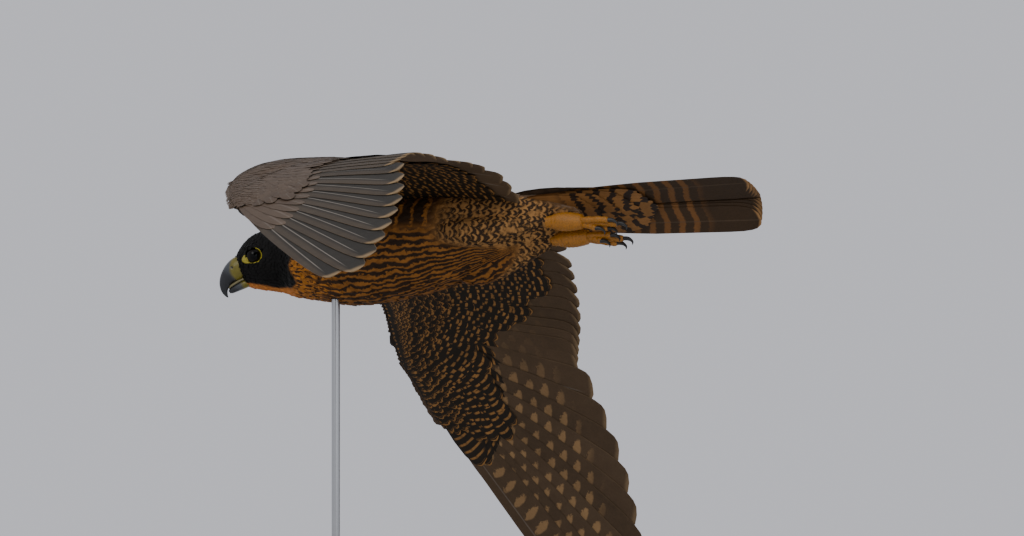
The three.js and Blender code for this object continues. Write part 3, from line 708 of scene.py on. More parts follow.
def scattered(skin_mesh, spacing, rng, candidates):
    """Seeded points on a mesh, kept apart by a spacing that varies over it."""
    skin_mesh.calc_loop_triangles()
    places = np.array([v.co[:] for v in skin_mesh.vertices])
    tris = np.array([t.vertices[:] for t in skin_mesh.loop_triangles])
    corners = places[tris]
    cross = np.cross(corners[:, 1] - corners[:, 0], corners[:, 2] - corners[:, 0])
    weight = np.linalg.norm(cross, axis=1) / spacing(corners.mean(axis=1)) ** 2
    chosen = rng.choice(len(tris), candidates, p=weight / weight.sum())
    a, b = rng.random((2, candidates))
    flip = a + b > 1
    a[flip], b[flip] = 1 - a[flip], 1 - b[flip]
    spots = corners[chosen, 0] + a[:, None] * (corners[chosen, 1] - corners[chosen, 0])
    spots += b[:, None] * (corners[chosen, 2] - corners[chosen, 0])
    kept = {}
    keep = []
    for k, (spot, gap) in enumerate(zip(spots, spacing(spots))):
        home = tuple((spot // CELL).astype(int))
        if not crowded(spot, gap, home, kept):
            kept.setdefault(home, []).append(spot)
            keep.append(k)
    return spots[keep]


def feather_spacing(points):
    """Metres between the feathers at points of the body."""
    far = ramp(-to_head(points)[:, 0], -8, 60)
    rear = ramp(-to_bird(points)[:, 0], 100, 170)
    return (1.9 + 3.6 * far - 0.6 * rear) * MM


def make_skin():
    """One skin over the flesh nodes, drawn in by the depth of the coat."""
    copies = []
    for node in FLESH:
        copy = bpy.data.objects[node].copy()
        copy.data = copy.data.copy()
        bpy.context.collection.objects.link(copy)
        apply(copy, "WELD", merge_threshold=SKIN_WELD)
        apply(copy, "DISPLACE", strength=SKIN_SWELL, mid_level=0.0)
        copies.append(copy)
    only(copies[0])
    for copy in copies:
        copy.select_set(True)
    bpy.ops.object.join()
    skin = bpy.context.view_layer.objects.active
    skin.name = "skin"
    skin.data.name = "skin"
    apply(skin, "REMESH", mode="VOXEL", voxel_size=VOXEL)
    apply(skin, "SMOOTH", factor=0.5, iterations=SKIN_SMOOTHING)
    apply(skin, "DISPLACE", strength=-COAT_DEPTH, mid_level=0.0)
    for key in [a.name for a in skin.data.attributes if not a.is_internal and not a.is_required]:
        skin.data.attributes.remove(skin.data.attributes[key])
    head = to_head(np.array([v.co[:] for v in skin.data.vertices]))
    off_axis = np.hypot(head[:, 0] - EYE_PLACE[0], head[:, 2] - EYE_PLACE[2])
    socket = 1 - ramp(off_axis, EYE_OPENING, EYE_OPENING + SOCKET_RIM)
    socket = socket * (np.abs(head[:, 1]) > SOCKET_INNER)
    head[:, 1] -= np.sign(head[:, 1]) * SOCKET_DEPTH * socket
    places = place_head(head)
    skin.data.vertices.foreach_set("co", places.astype(np.float32).ravel())
    skin.data.update()
    add_marks(skin.data, **body_marks(places))
    skin.data.shade_smooth()
    return skin


def feather_lie(spots, tree, rng):
    """The ways that feathers at these roots point: away from the bill, then back along the body."""
    head = to_head(spots)
    backward = np.tile(-BIRD_AXES[:, 0], (len(spots), 1))
    from_bill = unit((head - np.array(BILL_ROOT)) @ HEAD_AXES.T)
    near_bill = ramp(head[:, 0], -45, -5)[:, None]
    lie = backward * (1 - near_bill) + from_bill * near_bill
    for k, spot in enumerate(spots):
        normal = np.array(tree.find_nearest(Vector(spot))[1])
        lie[k] -= normal * np.dot(lie[k], normal)
    return unit(lie + rng.normal(0, LIE_SPREAD, lie.shape))


def off_the_eyes(spots, lie, lengths):
    """Which feathers stay clear of the bare skin round the eyes."""
    clear = np.ones(len(spots), bool)
    for reach in (0.0, 0.45, 0.85):
        seen = to_head(spots + lie * (lengths * reach * MM)[:, None])
        ahead, high = seen[:, 0] - EYE_PLACE[0], seen[:, 2] - EYE_PLACE[2]
        clear &= np.hypot(ahead, high) > eye_skirt(np.arctan2(high, ahead)) - EYE_CLEARANCE
    return clear


def hidden_by_wing(point):
    """Whether a point of the trunk lies under a wing's root."""
    x, y, z = point
    inside = WING_ROOT["x"][0] < x < WING_ROOT["x"][1] and WING_ROOT["z"][0] < z < WING_ROOT["z"][1]
    return inside and abs(y) > WING_ROOT["y"]


class FALCON_OT_body(bpy.types.Operator):
    """Covers the head, neck, trunk and thighs with a skin and rows of small feathers"""

    bl_idname = "falcon.body"
    bl_label = "Body and Head Plumage"

    def execute(self, context):
        rng = np.random.default_rng(SEED)
        skin = make_skin()
        tree = BVHTree.FromObject(skin, context.evaluated_depsgraph_get())
        spots = scattered(skin.data, feather_spacing, rng, context.scene.falcon_plumage.body_tries)
        behind_bill = to_head(spots)[:, 0] < BILL_FACE
        in_the_open = np.array([not hidden_by_wing(p) for p in to_bird(spots)])
        spots = spots[behind_bill & in_the_open]
        lie = feather_lie(spots, tree, rng)
        apart = feather_spacing(spots) / MM
        lengths = apart * LENGTH_TO_SPACING * rng.uniform(0.88, 1.15, len(spots))
        halves = apart * HALF_TO_SPACING * rng.uniform(0.9, 1.1, len(spots))
        clear = off_the_eyes(spots, lie, lengths)
        on_head = to_head(spots)[:, 0] > HEAD_END
        ride(skin, body_material("Skin Under Feathers", False), FLESH)
        material = body_material("Small Feathers", True)
        for name, slot, chosen, lift in (
            ("head_feathers", "hood_feathers", clear & on_head, 0.55),
            ("body_feathers", "breast_feathers", clear & ~on_head, 0.95),
        ):
            sizes = (lengths[chosen], halves[chosen])
            piece = skin_vanes(name, tree, spots[chosen], lie[chosen], sizes, rng, lift)
            ride(piece, material)
        return {"FINISHED"}


# Wings
class WingSheet:
    """The bent sheet of a wing, by distances across it, back along it and above it, in millimetres."""

    def __init__(self, side):
        self.side = side
        self.sign = 1 if side == "left" else -1
        self.steps = np.arange(0, SHEET_SPAN + STEP, STEP)
        slopes = np.radians(np.interp(self.steps[:-1] + STEP / 2, *SLOPES[side]))
        self.y = np.concatenate(([0], np.cumsum(STEP * np.cos(slopes))))
        self.z = np.concatenate(([0], np.cumsum(STEP * np.sin(slopes))))
        x, y = math.cos(math.radians(HAND_SWEEP[side])), math.sin(math.radians(HAND_SWEEP[side]))
        hand = [(WRIST[0] + a * x + b * y, WRIST[1] + a * y - b * x) for a, b in HAND_FRONT]
        self.front = (
            np.array(ARM_FRONT[0] + tuple(p[0] for p in hand)),
            np.array(ARM_FRONT[1] + tuple(p[1] for p in hand)),
        )

    def bird(self, across, back, height):
        inner = math.radians(SLOPES[self.side][1][1])
        y = np.interp(across, self.steps, self.y) + np.minimum(across, 0) * math.cos(inner)
        z = np.interp(across, self.steps, self.z) + np.minimum(across, 0) * math.sin(inner)
        slope = np.radians(np.interp(across, *SLOPES[self.side]))
        tilt = np.radians(np.interp(across, *TILT[self.side]))
        lifted = height - back * np.abs(back) / (2 * CAMBER)
        rise = back * np.sin(tilt) + lifted * np.cos(tilt)
        run = back * np.cos(tilt) - lifted * np.sin(tilt)
        brought = FORWARD[self.side] * smooth(np.asarray(across) / WRIST[0])
        return np.stack(
            (
                SHOULDER[0] - run + brought,
                self.sign * (SHOULDER[1] + y - rise * np.sin(slope)),
                SHOULDER[2] + z + rise * np.cos(slope),
            ),
            axis=-1,
        )

    def __call__(self, across, back, height):
        return place_bird(self.bird(across, back, height))

    def share(self, across, back):
        """How far back a place lies between the arm's front edge, 0, and its back edge, 1."""
        front = np.interp(across, *self.front)
        edge = np.interp(across, *BACK_EDGE)
        return (back - front) / np.maximum(edge - front, 6)

    def surface(self, across, back, spread=1.0):
        """Height of the arm's upper face, falling to that of the long feathers' coverts behind it."""
        thick = np.interp(across, *THICKNESS)
        share = self.share(across, back)
        return np.maximum(thick * np.interp(share, *ARM_FORM), 3.4 * ramp(share, 0.5, 1.0)) + spread


def flight_rows(side):
    """The long feathers of one wing, from the body outwards, as rows of one array."""
    hand = math.radians(HAND_SWEEP[side])
    rows = []
    for i in range(SECONDARIES):
        t = i / (SECONDARIES - 1)
        if t < BESIDE_BODY:
            s = t / BESIDE_BODY
            root = (28 + 38 * s, 26 - 2 * s)
        else:
            s = (t - BESIDE_BODY) / (1 - BESIDE_BODY)
            root = (72 + 71 * s, 20 - 58 * s)
        sweep = INNER_SWEEP - 24 * float(smooth(min(t * 1.25, 1.12)))
        rows.append((*root, sweep, 126 + 24 * t - 9 * math.sin(math.pi * t), 11, 18, 5, 0))
    for i in range(PRIMARIES):
        t = i / (PRIMARIES - 1)
        run = 5 + (HAND_LENGTH - 8) * t
        ahead = LEAD * t**2
        root = (
            WRIST[0] + run * math.cos(hand) + ahead * math.sin(hand) - 2,
            WRIST[1] + run * math.sin(hand) - ahead * math.cos(hand) + 4,
        )
        sweep = HAND_SWEEP[side] + 40 - 42 * t**0.85 + 3 * t**2
        length = WING_LENGTH - TIP_SHORTFALL[i] - run * (0.35 + 0.65 * t)
        rows.append((*root, sweep, length, 11 - 2 * t, 21 + 3 * t, 5 + 2 * t, t))
    return np.array(rows, float)


def shaft_gaps(rows, share):
    """Millimetres between each long feather's shaft and its neighbour's at a share of their length."""
    gaps = []
    for i in range(len(rows)):
        a, b = (rows[i], rows[i + 1]) if i < len(rows) - 1 else (rows[i - 1], rows[i])
        ends = []
        for f in (a, b):
            angle = math.radians(f[2] + f[6] * share * 0.5)
            ends.append((f[0] + a[3] * share * math.cos(angle), f[1] + a[3] * share * math.sin(angle)))
        gaps.append(max(math.dist(*ends), 5.5))
    return np.array(gaps)


def sheet_vanes(name, sheet, rows, form, height, rng, thick, rib=0.0, bake_shift=None):
    """Vanes laid on a bent sheet, with a bake map where bake_shift sets its place along the map.

    Rows hold root, sweep, length, outer and inner width, bend and pointedness, and height takes how far
    along a vane, how far across it, and the place on the sheet.
    """
    across, along, face = vane_grid(form, len(rows))
    columns = (rows[:, k][:, None, None] for k in range(8))
    root_x, root_y, sweep, length, outer, inner, bend, pointed = columns
    blunt = np.interp(along, form["rows"], form["widths"])
    sharp = np.interp(along, form["rows"], form.get("pointed", form["widths"]))
    share = blunt * (1 - pointed) + sharp * pointed
    v = np.where(across < 0, across * inner, across * outer) * share
    angle = np.radians(sweep + bend * along * 0.5)
    turned = np.radians(sweep + bend * along)
    reach = length * along - length * 0.03 * np.abs(v) / inner * along
    place_x = root_x + reach * np.cos(angle) + v * np.sin(turned)
    place_y = root_y + reach * np.sin(angle) - v * np.cos(turned)
    ridge = rib * (np.abs(across) < 0.05) * (1 - 0.8 * along)
    lift = height(along, v, place_x, place_y) + face * (thick * 0.5 + ridge)
    points = sheet(place_x, place_y, lift)
    tone = np.broadcast_to(rng.uniform(0, 1, len(rows))[:, None, None], across.shape)
    span = np.broadcast_to(np.linspace(0, 1, len(rows))[:, None, None], across.shape)
    vectors = {
        "vane": np.stack((across, along, tone), axis=-1),
        "spot": np.stack((length * along * 0.1, length * (1 - along) * 0.1, span), axis=-1),
    }
    patches = None
    if bake_shift is not None:
        roots = rows[:, :2] + np.array((bake_shift, 0))
        patches = root_patches(roots, across, along, (-40, -80), (560, 120))
    faces = ring_faces(across.shape[1], across.shape[2], len(rows))
    return crisp(add_mesh(name, points, faces, vectors, None, patches))


def quill_material():
    """Long wing feathers: slate with pale shafts above, brown with rows of buff spots below."""
    look = bpy.context.scene.falcon_plumage
    made = Recipe("Flight Feathers")
    across, share, tone = made.parts(made.attribute("vane"))
    run, _, span = made.parts(made.attribute("spot"))
    under = made.attribute("under", "Fac")
    drift, fine = made.drifts(60.0, 500.0)
    rows = (run + tone * 0.3 + (fine - 0.5) * 0.3 + 0.375).wave(1.5)
    aside = (across + 0.42) * (across + 0.42) * 8.0
    faint = 0.1 + 0.9 * span.over(0.52, 0.7)
    spots = (rows - aside + (drift - 0.5) * 1.8 + (fine - 0.5) * 1.6).over(-0.25, 0.45)
    spots = spots * share.over(0.1, 0.2) * faint * (1 - share.over(0.72, 0.84))
    below = made.mix(spots * 0.92, look.quill_under, look.spots)
    barred = (run + tone * 0.3).wave(1.5).over(0.0, 0.7) * 0.1
    above = made.mix(barred, look.quill_top, look.hood)
    webs = made.mix(across.over(-0.05, 0.6) * 0.3, above, look.slate_edge)
    colour = made.mix(under, webs, below)
    rim = abs(across).over(0.95, 1.0) * share.over(0.5, 0.9) * 0.5
    tip = share.over(0.972, 0.996).maths("MAXIMUM", rim)
    tipped = made.mix(tip * (0.75 - under * 0.4), colour, look.tips)
    shaft = (1 - abs(across).over(0.018, 0.05)) * (1 - share.over(0.86, 0.97))
    pale_shaft = 0.2 + 0.3 * (1 - under) * span.over(0.5, 0.7)
    shafted = made.mix(shaft * pale_shaft, tipped, look.shaft)
    varied = made.shade(shafted, 0.84 + 0.2 * tone + (drift - 0.5) * 0.4 + (fine - 0.5) * 0.3)
    barbs = (run * 9.0 + abs(across) * 8.0 + fine).wave(1.0)
    lined = made.shade(varied, 1 + barbs * 0.07)
    bumped = made.bump(barbs * 0.3 + fine, 0.0001, 0.4)
    rough = 0.66 + 0.1 * fine
    return made.finish(Base_Color=lined, Roughness=rough, Normal=bumped, Specular_IOR_Level=0.2)


def covert_material(name, under):
    """Coverts: slate with faint pale edges above, dark with rows of buff bars below."""
    look = bpy.context.scene.falcon_plumage
    made = Recipe(name)
    across, share, tone = made.parts(made.attribute("vane"))
    _, from_tip, _ = made.parts(made.attribute("spot"))
    drift, fine = made.drifts(70.0, 520.0)
    shaft = 1 - abs(across).over(0.04, 0.14)
    if under:
        bow = from_tip - abs(across) * abs(across) * 0.16 + (fine - 0.5) * 0.12
        edge = 1 - bow.over(0.06, 0.17)
        middle = (bow + 0.02).wave(0.72).over(0.35, 0.85) * (1 - abs(across).over(0.55, 0.95))
        middle = middle * bow.over(0.2, 0.3)
        bars = edge.maths("MAXIMUM", middle) * (0.45 + drift)
        colour = made.mix(bars.maths("MINIMUM", 1.0) * 0.92, look.lining, look.lining_bars)
        colour = made.mix(shaft * 0.35, colour, look.bars)
    else:
        edge = share.over(0.88, 1.0) * 0.3 + abs(across).over(0.8, 1.0) * 0.1
        colour = made.mix(edge, look.slate, look.slate_edge)
        colour = made.mix(shaft * 0.12, colour, look.shaft)
    varied = made.shade(colour, 0.86 + 0.2 * tone + (drift - 0.5) * 0.4 + (fine - 0.5) * 0.35)
    bumped = made.bump(fine, 0.00015, 0.4)
    return made.finish(Base_Color=varied, Roughness=0.66, Normal=bumped, Specular_IOR_Level=0.28)


def mark_under(piece):
    """Marks a vane's lower face, where its colours differ."""
    mesh = piece.data
    layer = mesh.attributes.new("under", "FLOAT", "FACE")
    columns = len(LARGE["columns"])
    outline = 2 * columns - 2
    below = (np.arange(len(mesh.polygons)) % outline) >= columns - 1
    quads = np.array([len(p.vertices) == 4 for p in mesh.polygons])
    layer.data.foreach_set("value", (below & quads).astype(np.float32))


def arm_piece(side, sheet):
    """The fleshy front of a wing, just inside its coverts."""
    half = ARM_SIDES // 2
    shares = np.concatenate((np.linspace(0.02, 1, half), np.linspace(1, 0.02, half)))
    faces = np.concatenate((np.ones(half), -np.ones(half)))
    across = np.broadcast_to(np.linspace(*ARM_SPAN, ARM_RINGS)[:, None], (ARM_RINGS, ARM_SIDES))
    front = np.interp(across, *sheet.front)
    back = front + (np.interp(across, *BACK_EDGE) - front) * shares
    height = faces * sheet.surface(across, back, -1.6)
    taper = np.clip((ARM_SPAN[1] - across) / 12, 0.1, 1)
    points = sheet(across, back, height * taper)
    look = bpy.context.scene.falcon_plumage
    colour = np.where(faces[None, :, None] > 0, np.array(look.slate), np.array(look.lining))
    colours = {"ground": np.broadcast_to(colour, points.shape)}
    made = Recipe(f"Arm Skin {side.title()}")
    mottle = made.noise(made.place(), 380.0, 3.0)
    varied = made.shade(made.attribute("ground", "Color"), 0.55 + mottle * 0.8)
    bumped = made.bump(mottle, 0.0006, 0.6)
    material = made.finish(Base_Color=varied, Roughness=0.8, Normal=bumped)
    tube(f"arm_{side}", points, "wing_feathers", material, colours=colours)


def covert_roots(sheet, tier, rng, first):
    """Staggered roots of one tier on a wing's arm and hand, first millimetres behind the front edge."""
    pitch = tier["pitch"]
    spots = []
    for row, depth in enumerate(np.arange(first, COVERT_DEPTH, pitch * 0.8)):
        start = COVERT_SPAN[0] + (pitch * 0.5 if row % 2 else 0)
        for across in np.arange(start, COVERT_SPAN[1], pitch):
            back = float(np.interp(across, *sheet.front)) + depth
            if tier["share"][0] <= float(sheet.share(across, back)) < tier["share"][1]:
                spots.append((across, back))
    spots = np.array(spots)
    return spots + rng.normal(0, pitch * 0.07, spots.shape)


def small_coverts(side, sheet, rng, sign):
    """Rows for the lesser and median coverts on one face of a wing."""
    flights = flight_rows(side)
    rows = []
    for tier in TIERS:
        spots = covert_roots(sheet, tier, rng, 0.5 if sign > 0 else 4.5)
        count = len(spots)
        sweep = np.interp(spots[:, 0], flights[:, 0], flights[:, 2]) - 4 + rng.normal(0, 4, count)
        length = tier["length"] * rng.uniform(0.9, 1.12, count)
        widths = [tier["half"] * rng.uniform(0.92, 1.08, count) for _ in range(2)]
        rows.append(np.column_stack((spots, sweep, length, *widths, np.zeros((count, 2)))))
    return rows


def great_coverts(flights, sign):
    """Rows for the coverts over the roots of the long feathers, on one face of a wing."""
    share = 0.5 - (0.12 if sign > 0 else 0.34) * flights[:, 7]
    great = flights.copy()
    back = np.radians(great[:, 2])
    great[:, 0] -= GREAT_AHEAD * np.cos(back)
    great[:, 1] -= GREAT_AHEAD * np.sin(back)
    great[:, 3] = great[:, 3] * share + GREAT_AHEAD + 2
    great[:, 4] *= 0.95
    great[:, 5] *= 0.7
    great[:, 6] *= share
    great[:, 7] = 0
    return great


class FALCON_OT_wings(bpy.types.Operator):
    """Lays the long feathers and the tiers of coverts on both wings"""

    bl_idname = "falcon.wings"
    bl_label = "Wing Feathers"

    def execute(self, context):
        quills = quill_material()
        top = covert_material("Upper Coverts", False)
        lining = covert_material("Wing Lining", True)
        for k, side in enumerate(("left", "right")):
            rng = np.random.default_rng(SEED + 1 + k)
            sheet = WingSheet(side)
            arm_piece(side, sheet)
            rows = flight_rows(side)
            gaps = np.array([shaft_gaps(rows, share) for share in LARGE["rows"]]).T
            slant = (LAYER / gaps)[:, :, None]

            def louvers(u, v, x, y):
                return slant * v

            name = f"quills_{side}"
            piece = sheet_vanes(name, sheet, rows, LARGE, louvers, rng, QUILL_THICKNESS, SHAFT)
            mark_under(piece)
            ride(piece, quills, (f"wing_{side}",))
            self.innermost(side, sheet, rng, quills)
            self.thumb(side, sheet, rng, top)
            self.coverts(side, sheet, rows, rng, 1, top)
            self.coverts(side, sheet, rows, rng, -1, lining)
        return {"FINISHED"}

    def innermost(self, side, sheet, rng, material):
        """The shorter feathers between the wing's long ones and the back."""
        rows = [(20 - 9 * i, 29 + i, 103 + 2 * i, 118 - 15 * i, 12, 17, 4, 0) for i in range(4)]
        rows = np.array(rows, float)[::-1]

        def layers(u, v, x, y):
            return 0.6 + 0.07 * v + 0.01 * (20 - x)

        piece = sheet_vanes(f"tertials_{side}", sheet, rows, LARGE, layers, rng, 0.5, SHAFT)
        mark_under(piece)
        ride(piece, material)

    def thumb(self, side, sheet, rng, material):
        """The few small stiff feathers on the leading edge beyond the wrist."""
        sweep = math.radians(HAND_SWEEP[side])
        x, y = math.cos(sweep), math.sin(sweep)
        rows = []
        for run, lead, length in ((4, 0, 36), (9, 2, 42), (14, 4, 46), (19, 6, 48)):
            root = (WRIST[0] + run * x + lead * y, WRIST[1] + run * y - lead * x)
            rows.append((*root, HAND_SWEEP[side] + 4, length, 4, 8, 3, 0.6))
        rows = np.array(rows, float)

        def on_arm(u, v, x, y):
            return sheet.surface(x, y, -2.0 + 1.5 * u) + 0.1 * v

        piece = sheet_vanes(f"alula_{side}", sheet, rows, LARGE, on_arm, rng, 0.4, SHAFT, 0.0)
        ride(piece, material)

    def coverts(self, side, sheet, flights, rng, sign, material):
        """The great, median and lesser coverts on one face of one wing."""
        great = great_coverts(flights, sign)
        slant = LAYER / shaft_gaps(flights, 0.3)[:, None, None]
        edges = flights[:, 4] * 0.5 if sign > 0 else (flights[:, 5] - great[:, 5]) * 0.8
        lift = sign * (slant[:, 0, 0] * edges + 0.5)[:, None, None]
        tiers = [(great, lambda u, v, x, y: lift + slant * v, MEDIUM, GREAT_THICKNESS)]
        for tier, small in zip(TIERS, small_coverts(side, sheet, rng, sign)):

            def shingled(u, v, x, y, rise=tier["rise"], droop=tier["droop"]):
                return sign * (sheet.surface(x, y, -0.9) + rise * u - droop * u**3 + 0.05 * v)

            tiers.append((small, shingled, tier["form"], COVERT_THICKNESS))
        face, shift = ("upper", 0.0) if sign > 0 else ("under", UNDER_BAKE)
        for rank, (rows, height, form, thick) in enumerate(tiers):
            name = f"{face}_coverts_{side}_{rank}"
            piece = sheet_vanes(name, sheet, rows, form, height, rng, thick, 0.0, shift)
            ride(piece, material)


# Tail
def tail_sheet(aside, back, height):
    """From places on the tail to the scene's metres."""
    local = np.stack((-back, aside, height - aside**2 / (2 * TAIL_ARCH)), axis=-1)
    turn = rolled(TAIL_TWIST) @ pitched(TAIL_RISE)
    return place_bird(local @ turn.T + np.array(TAIL_ROOT))


def tail_vanes(name, feathers, form, rng, thick, rib=0.0, start=0.0):
    """Feathers of the tail, from start millimetres behind its root.

    Each has its side, its place outwards, length, half width, height, fan and root spread.
    """
    across, along, face = vane_grid(form, len(feathers))
    columns = (feathers[:, k][:, None, None] for k in range(7))
    side, place, length, half, height, fan, roots = columns
    v = across * half * np.interp(along, form["rows"], form["widths"])
    back = start + (length - start) * along - (np.abs(v) / half) ** 2 * 6 * along
    v = np.where(v * side < 0, v * (1 + 0.4 * place), v)
    free = side * (1.6 + roots * place) + back * np.tan(np.radians(side * fan * place)) + v
    trimmed = np.where(place > 0, side * np.maximum(side * free, 0.8), free)
    ridge = rib * (np.abs(across) < 0.05) * (1 - 0.8 * along)
    points = tail_sheet(trimmed, back, height + face * (thick * 0.5 + ridge))
    tone = np.broadcast_to(rng.uniform(0, 1, len(feathers))[:, None, None], across.shape)
    outwards = np.broadcast_to(place, across.shape)
    vectors = {
        "vane": np.stack((across, along, tone), axis=-1),
        "spot": np.stack((back * 0.1, outwards, np.zeros(across.shape)), axis=-1),
    }
    patches = None
    if start:
        sideways = feathers[:, 0] * (2 + feathers[:, 6] * feathers[:, 1])
        spots = np.column_stack((sideways, feathers[:, 4]))
        patches = root_patches(spots, across, along, (-30, -20), (30, 20))
    faces = ring_faces(across.shape[1], across.shape[2], len(feathers))
    return crisp(add_mesh(name, points, faces, vectors, None, patches))


def tail_material(name, kind):
    """Barred tail feathers with a dark band and a pale tip, or the buff coverts under them."""
    look = bpy.context.scene.falcon_plumage
    made = Recipe(name)
    across, share, tone = made.parts(made.attribute("vane"))
    run, place, _ = made.parts(made.attribute("spot"))
    drift, fine = made.drifts(60.0, 480.0)
    shaft = 1 - abs(across).over(0.02, 0.07)
    if kind == "tail":
        under = made.attribute("under", "Fac")
        barred = (run + abs(across) * 0.3 + (fine - 0.5) * 0.4).wave(1.3).over(-0.65, 0.1)
        plain_end = 1 - share.over(0.68, 0.8)
        ground = made.mix(under, look.slate, look.tail_buff)
        bar = made.mix(under, look.hood, look.tail_dark)
        colour = made.mix(barred * plain_end + (1 - plain_end), ground, bar)
        pale = share.over(0.984, 0.997) * (0.85 - 0.65 * under * (1 - place))
        colour = made.mix(pale, colour, look.tail_tips)
        colour = made.mix(shaft * 0.5, colour, look.quill_under)
    elif kind == "under":
        bow = run + tone * 0.8 - abs(across) * 0.35 + (fine - 0.5) * 0.25 + (drift - 0.5) * 0.6
        bars = bow.wave(1.5).over(0.15, 0.5) * run.over(1.0, 2.6)
        colour = made.mix(bars * 0.95, look.tail_lining, look.bars)
    else:
        bars = (run + (fine - 0.5) * 0.2).wave(1.4).over(0.2, 0.7) * 0.3
        colour = made.mix(bars, look.slate, look.bars)
        colour = made.mix(share.over(0.93, 1.0) * 0.3, colour, look.slate_edge)
    varied = made.shade(colour, 0.82 + 0.25 * tone + (drift - 0.5) * 0.4 + (fine - 0.5) * 0.35)
    bumped = made.bump(fine, 0.0003, 0.4)
    return made.finish(Base_Color=varied, Roughness=0.6, Normal=bumped, Specular_IOR_Level=0.3)


class FALCON_OT_tail(bpy.types.Operator):
    """Lays the tail's long feathers and the coverts above and below their roots"""

    bl_idname = "falcon.tail"
    bl_label = "Tail Feathers"

    def execute(self, context):
        rng = np.random.default_rng(SEED + 3)
        feathers = []
        for i in range(TAIL_PAIRS):
            for side in (1, -1):
                place = i / (TAIL_PAIRS - 1)
                rank = i + (0.9 if side == -1 and i == 0 else 0) + (0.9 if i > 0 else 0)
                length = TAIL_LENGTH - 1.6 - 4 * place**2
                height = TAIL_TOP - TAIL_LAYER * rank
                feathers.append((side, place, length, TAIL_HALF, height, TAIL_FAN, TAIL_ROOTS))
        piece = tail_vanes("tail_quills", np.array(feathers, float), LARGE, rng, 0.5, 0.35)
        mark_under(piece)
        ride(piece, tail_material("Tail Feathers", "tail"), ("tail",))
        for name, count, rows, reach in (("upper", 4, 3, 72), ("under", 5, 4, 98)):
            coverts = []
            for row, i, side in itertools.product(range(rows), range(count), (1, -1)):
                place = i / (count - 1)
                rank = i * 0.35 + row * 0.9 + (0.3 if side < 0 else 0)
                height = 2.6 + row * 0.9 - i * 0.7 if name == "upper" else i * 0.2 - row * 1.1 - 5.0
                length = reach * (1 - 0.17 * row) - 14 * place
                coverts.append((side, place, length, 8.0, height + 0.1 * rank, 2.6, 14))
            coverts = np.array(coverts, float)
            piece = tail_vanes(f"tail_coverts_{name}", coverts, MEDIUM, rng, 0.3, 0.0, -30.0)
            ride(piece, tail_material(f"Tail Coverts {name.title()}", name))
        return {"FINISHED"}


# Bill, eyes and feet
UPPER_BILL = (
    (9, -4.6, 8.2, 9.4),
    (14, -4.4, 8.4, 9.7),
    (18.6, -4.5, 8.1, 9.5),
    (24, -5.8, 6.9, 8.4),
    (29.4, -8.2, 5.3, 6.5),
    (33.6, -11.9, 3.7, 4.6),
    (35.9, -16.6, 2.4, 2.9),
    (36.2, -20.6, 1.3, 1.5),
    (35.6, -23.4, 0.35, 0.35),
)
LOWER_BILL = (
    (8, -18.2, 7.2, 4.0),
    (18, -18.5, 6.5, 3.9),
    (25, -18.8, 4.9, 3.4),
    (30.5, -19.4, 3.0, 2.5),
    (32.8, -19.9, 1.4, 1.2),
)
MOUTH = (
    (4.5, -15.2, 0.4, 0.3),
    (9, -14.8, 7.5, 1.1),
    (18, -14.4, 7.2, 1.2),
    (25, -14.9, 5.5, 1.3),
    (29.5, -15.7, 3.4, 1.1),
    (32, -16.8, 1.8, 0.5),
)
NOSTRIL = (22.4, 7.3, -1.6)
KNOB = ((-1.6, 0.38), (-0.8, 0.36), (-0.45, 0.3), (-0.25, 0.14))
# Where the cutting edge has its notch and its tooth, and the width of each
NOTCH = (31.2, 1.1)
TOOTH = (33.6, 1.2)
TOOTH_DEPTH = 0.9
CERE_SWELL = (20.5, 3.0)
# The nostril's pit and its raised rim: how far from the middle, the width and the height of each
PIT = (0.0, 0.85, 1.7)
PIT_RIM = (1.75, 0.6, 0.35)


def bill_rings(rows, count, sides, upper):
    """The bill's skin in the head's millimetres, and how high each point is on its ring, from -1 to 1."""
    run = spline(rows, count)
    tangent = unit(np.gradient(run[:, (0, 1)], axis=0))
    angle = np.linspace(0, 2 * math.pi, sides, endpoint=False)
    lift = np.sin(angle)
    flat_below = (lift < 0) & upper
    wide = np.sign(np.cos(angle)) * np.abs(np.cos(angle)) ** np.where(flat_below, 0.6, 0.9)
    high = np.where(flat_below, lift * 1.02, lift) * run[:, None, 3]
    points = np.zeros((count, sides, 3))
    points[:, :, 0] = run[:, None, 0] - tangent[:, None, 1] * high
    points[:, :, 1] = wide * run[:, None, 2]
    points[:, :, 2] = run[:, None, 1] + tangent[:, None, 0] * high
    return points, np.broadcast_to(lift, (count, sides))


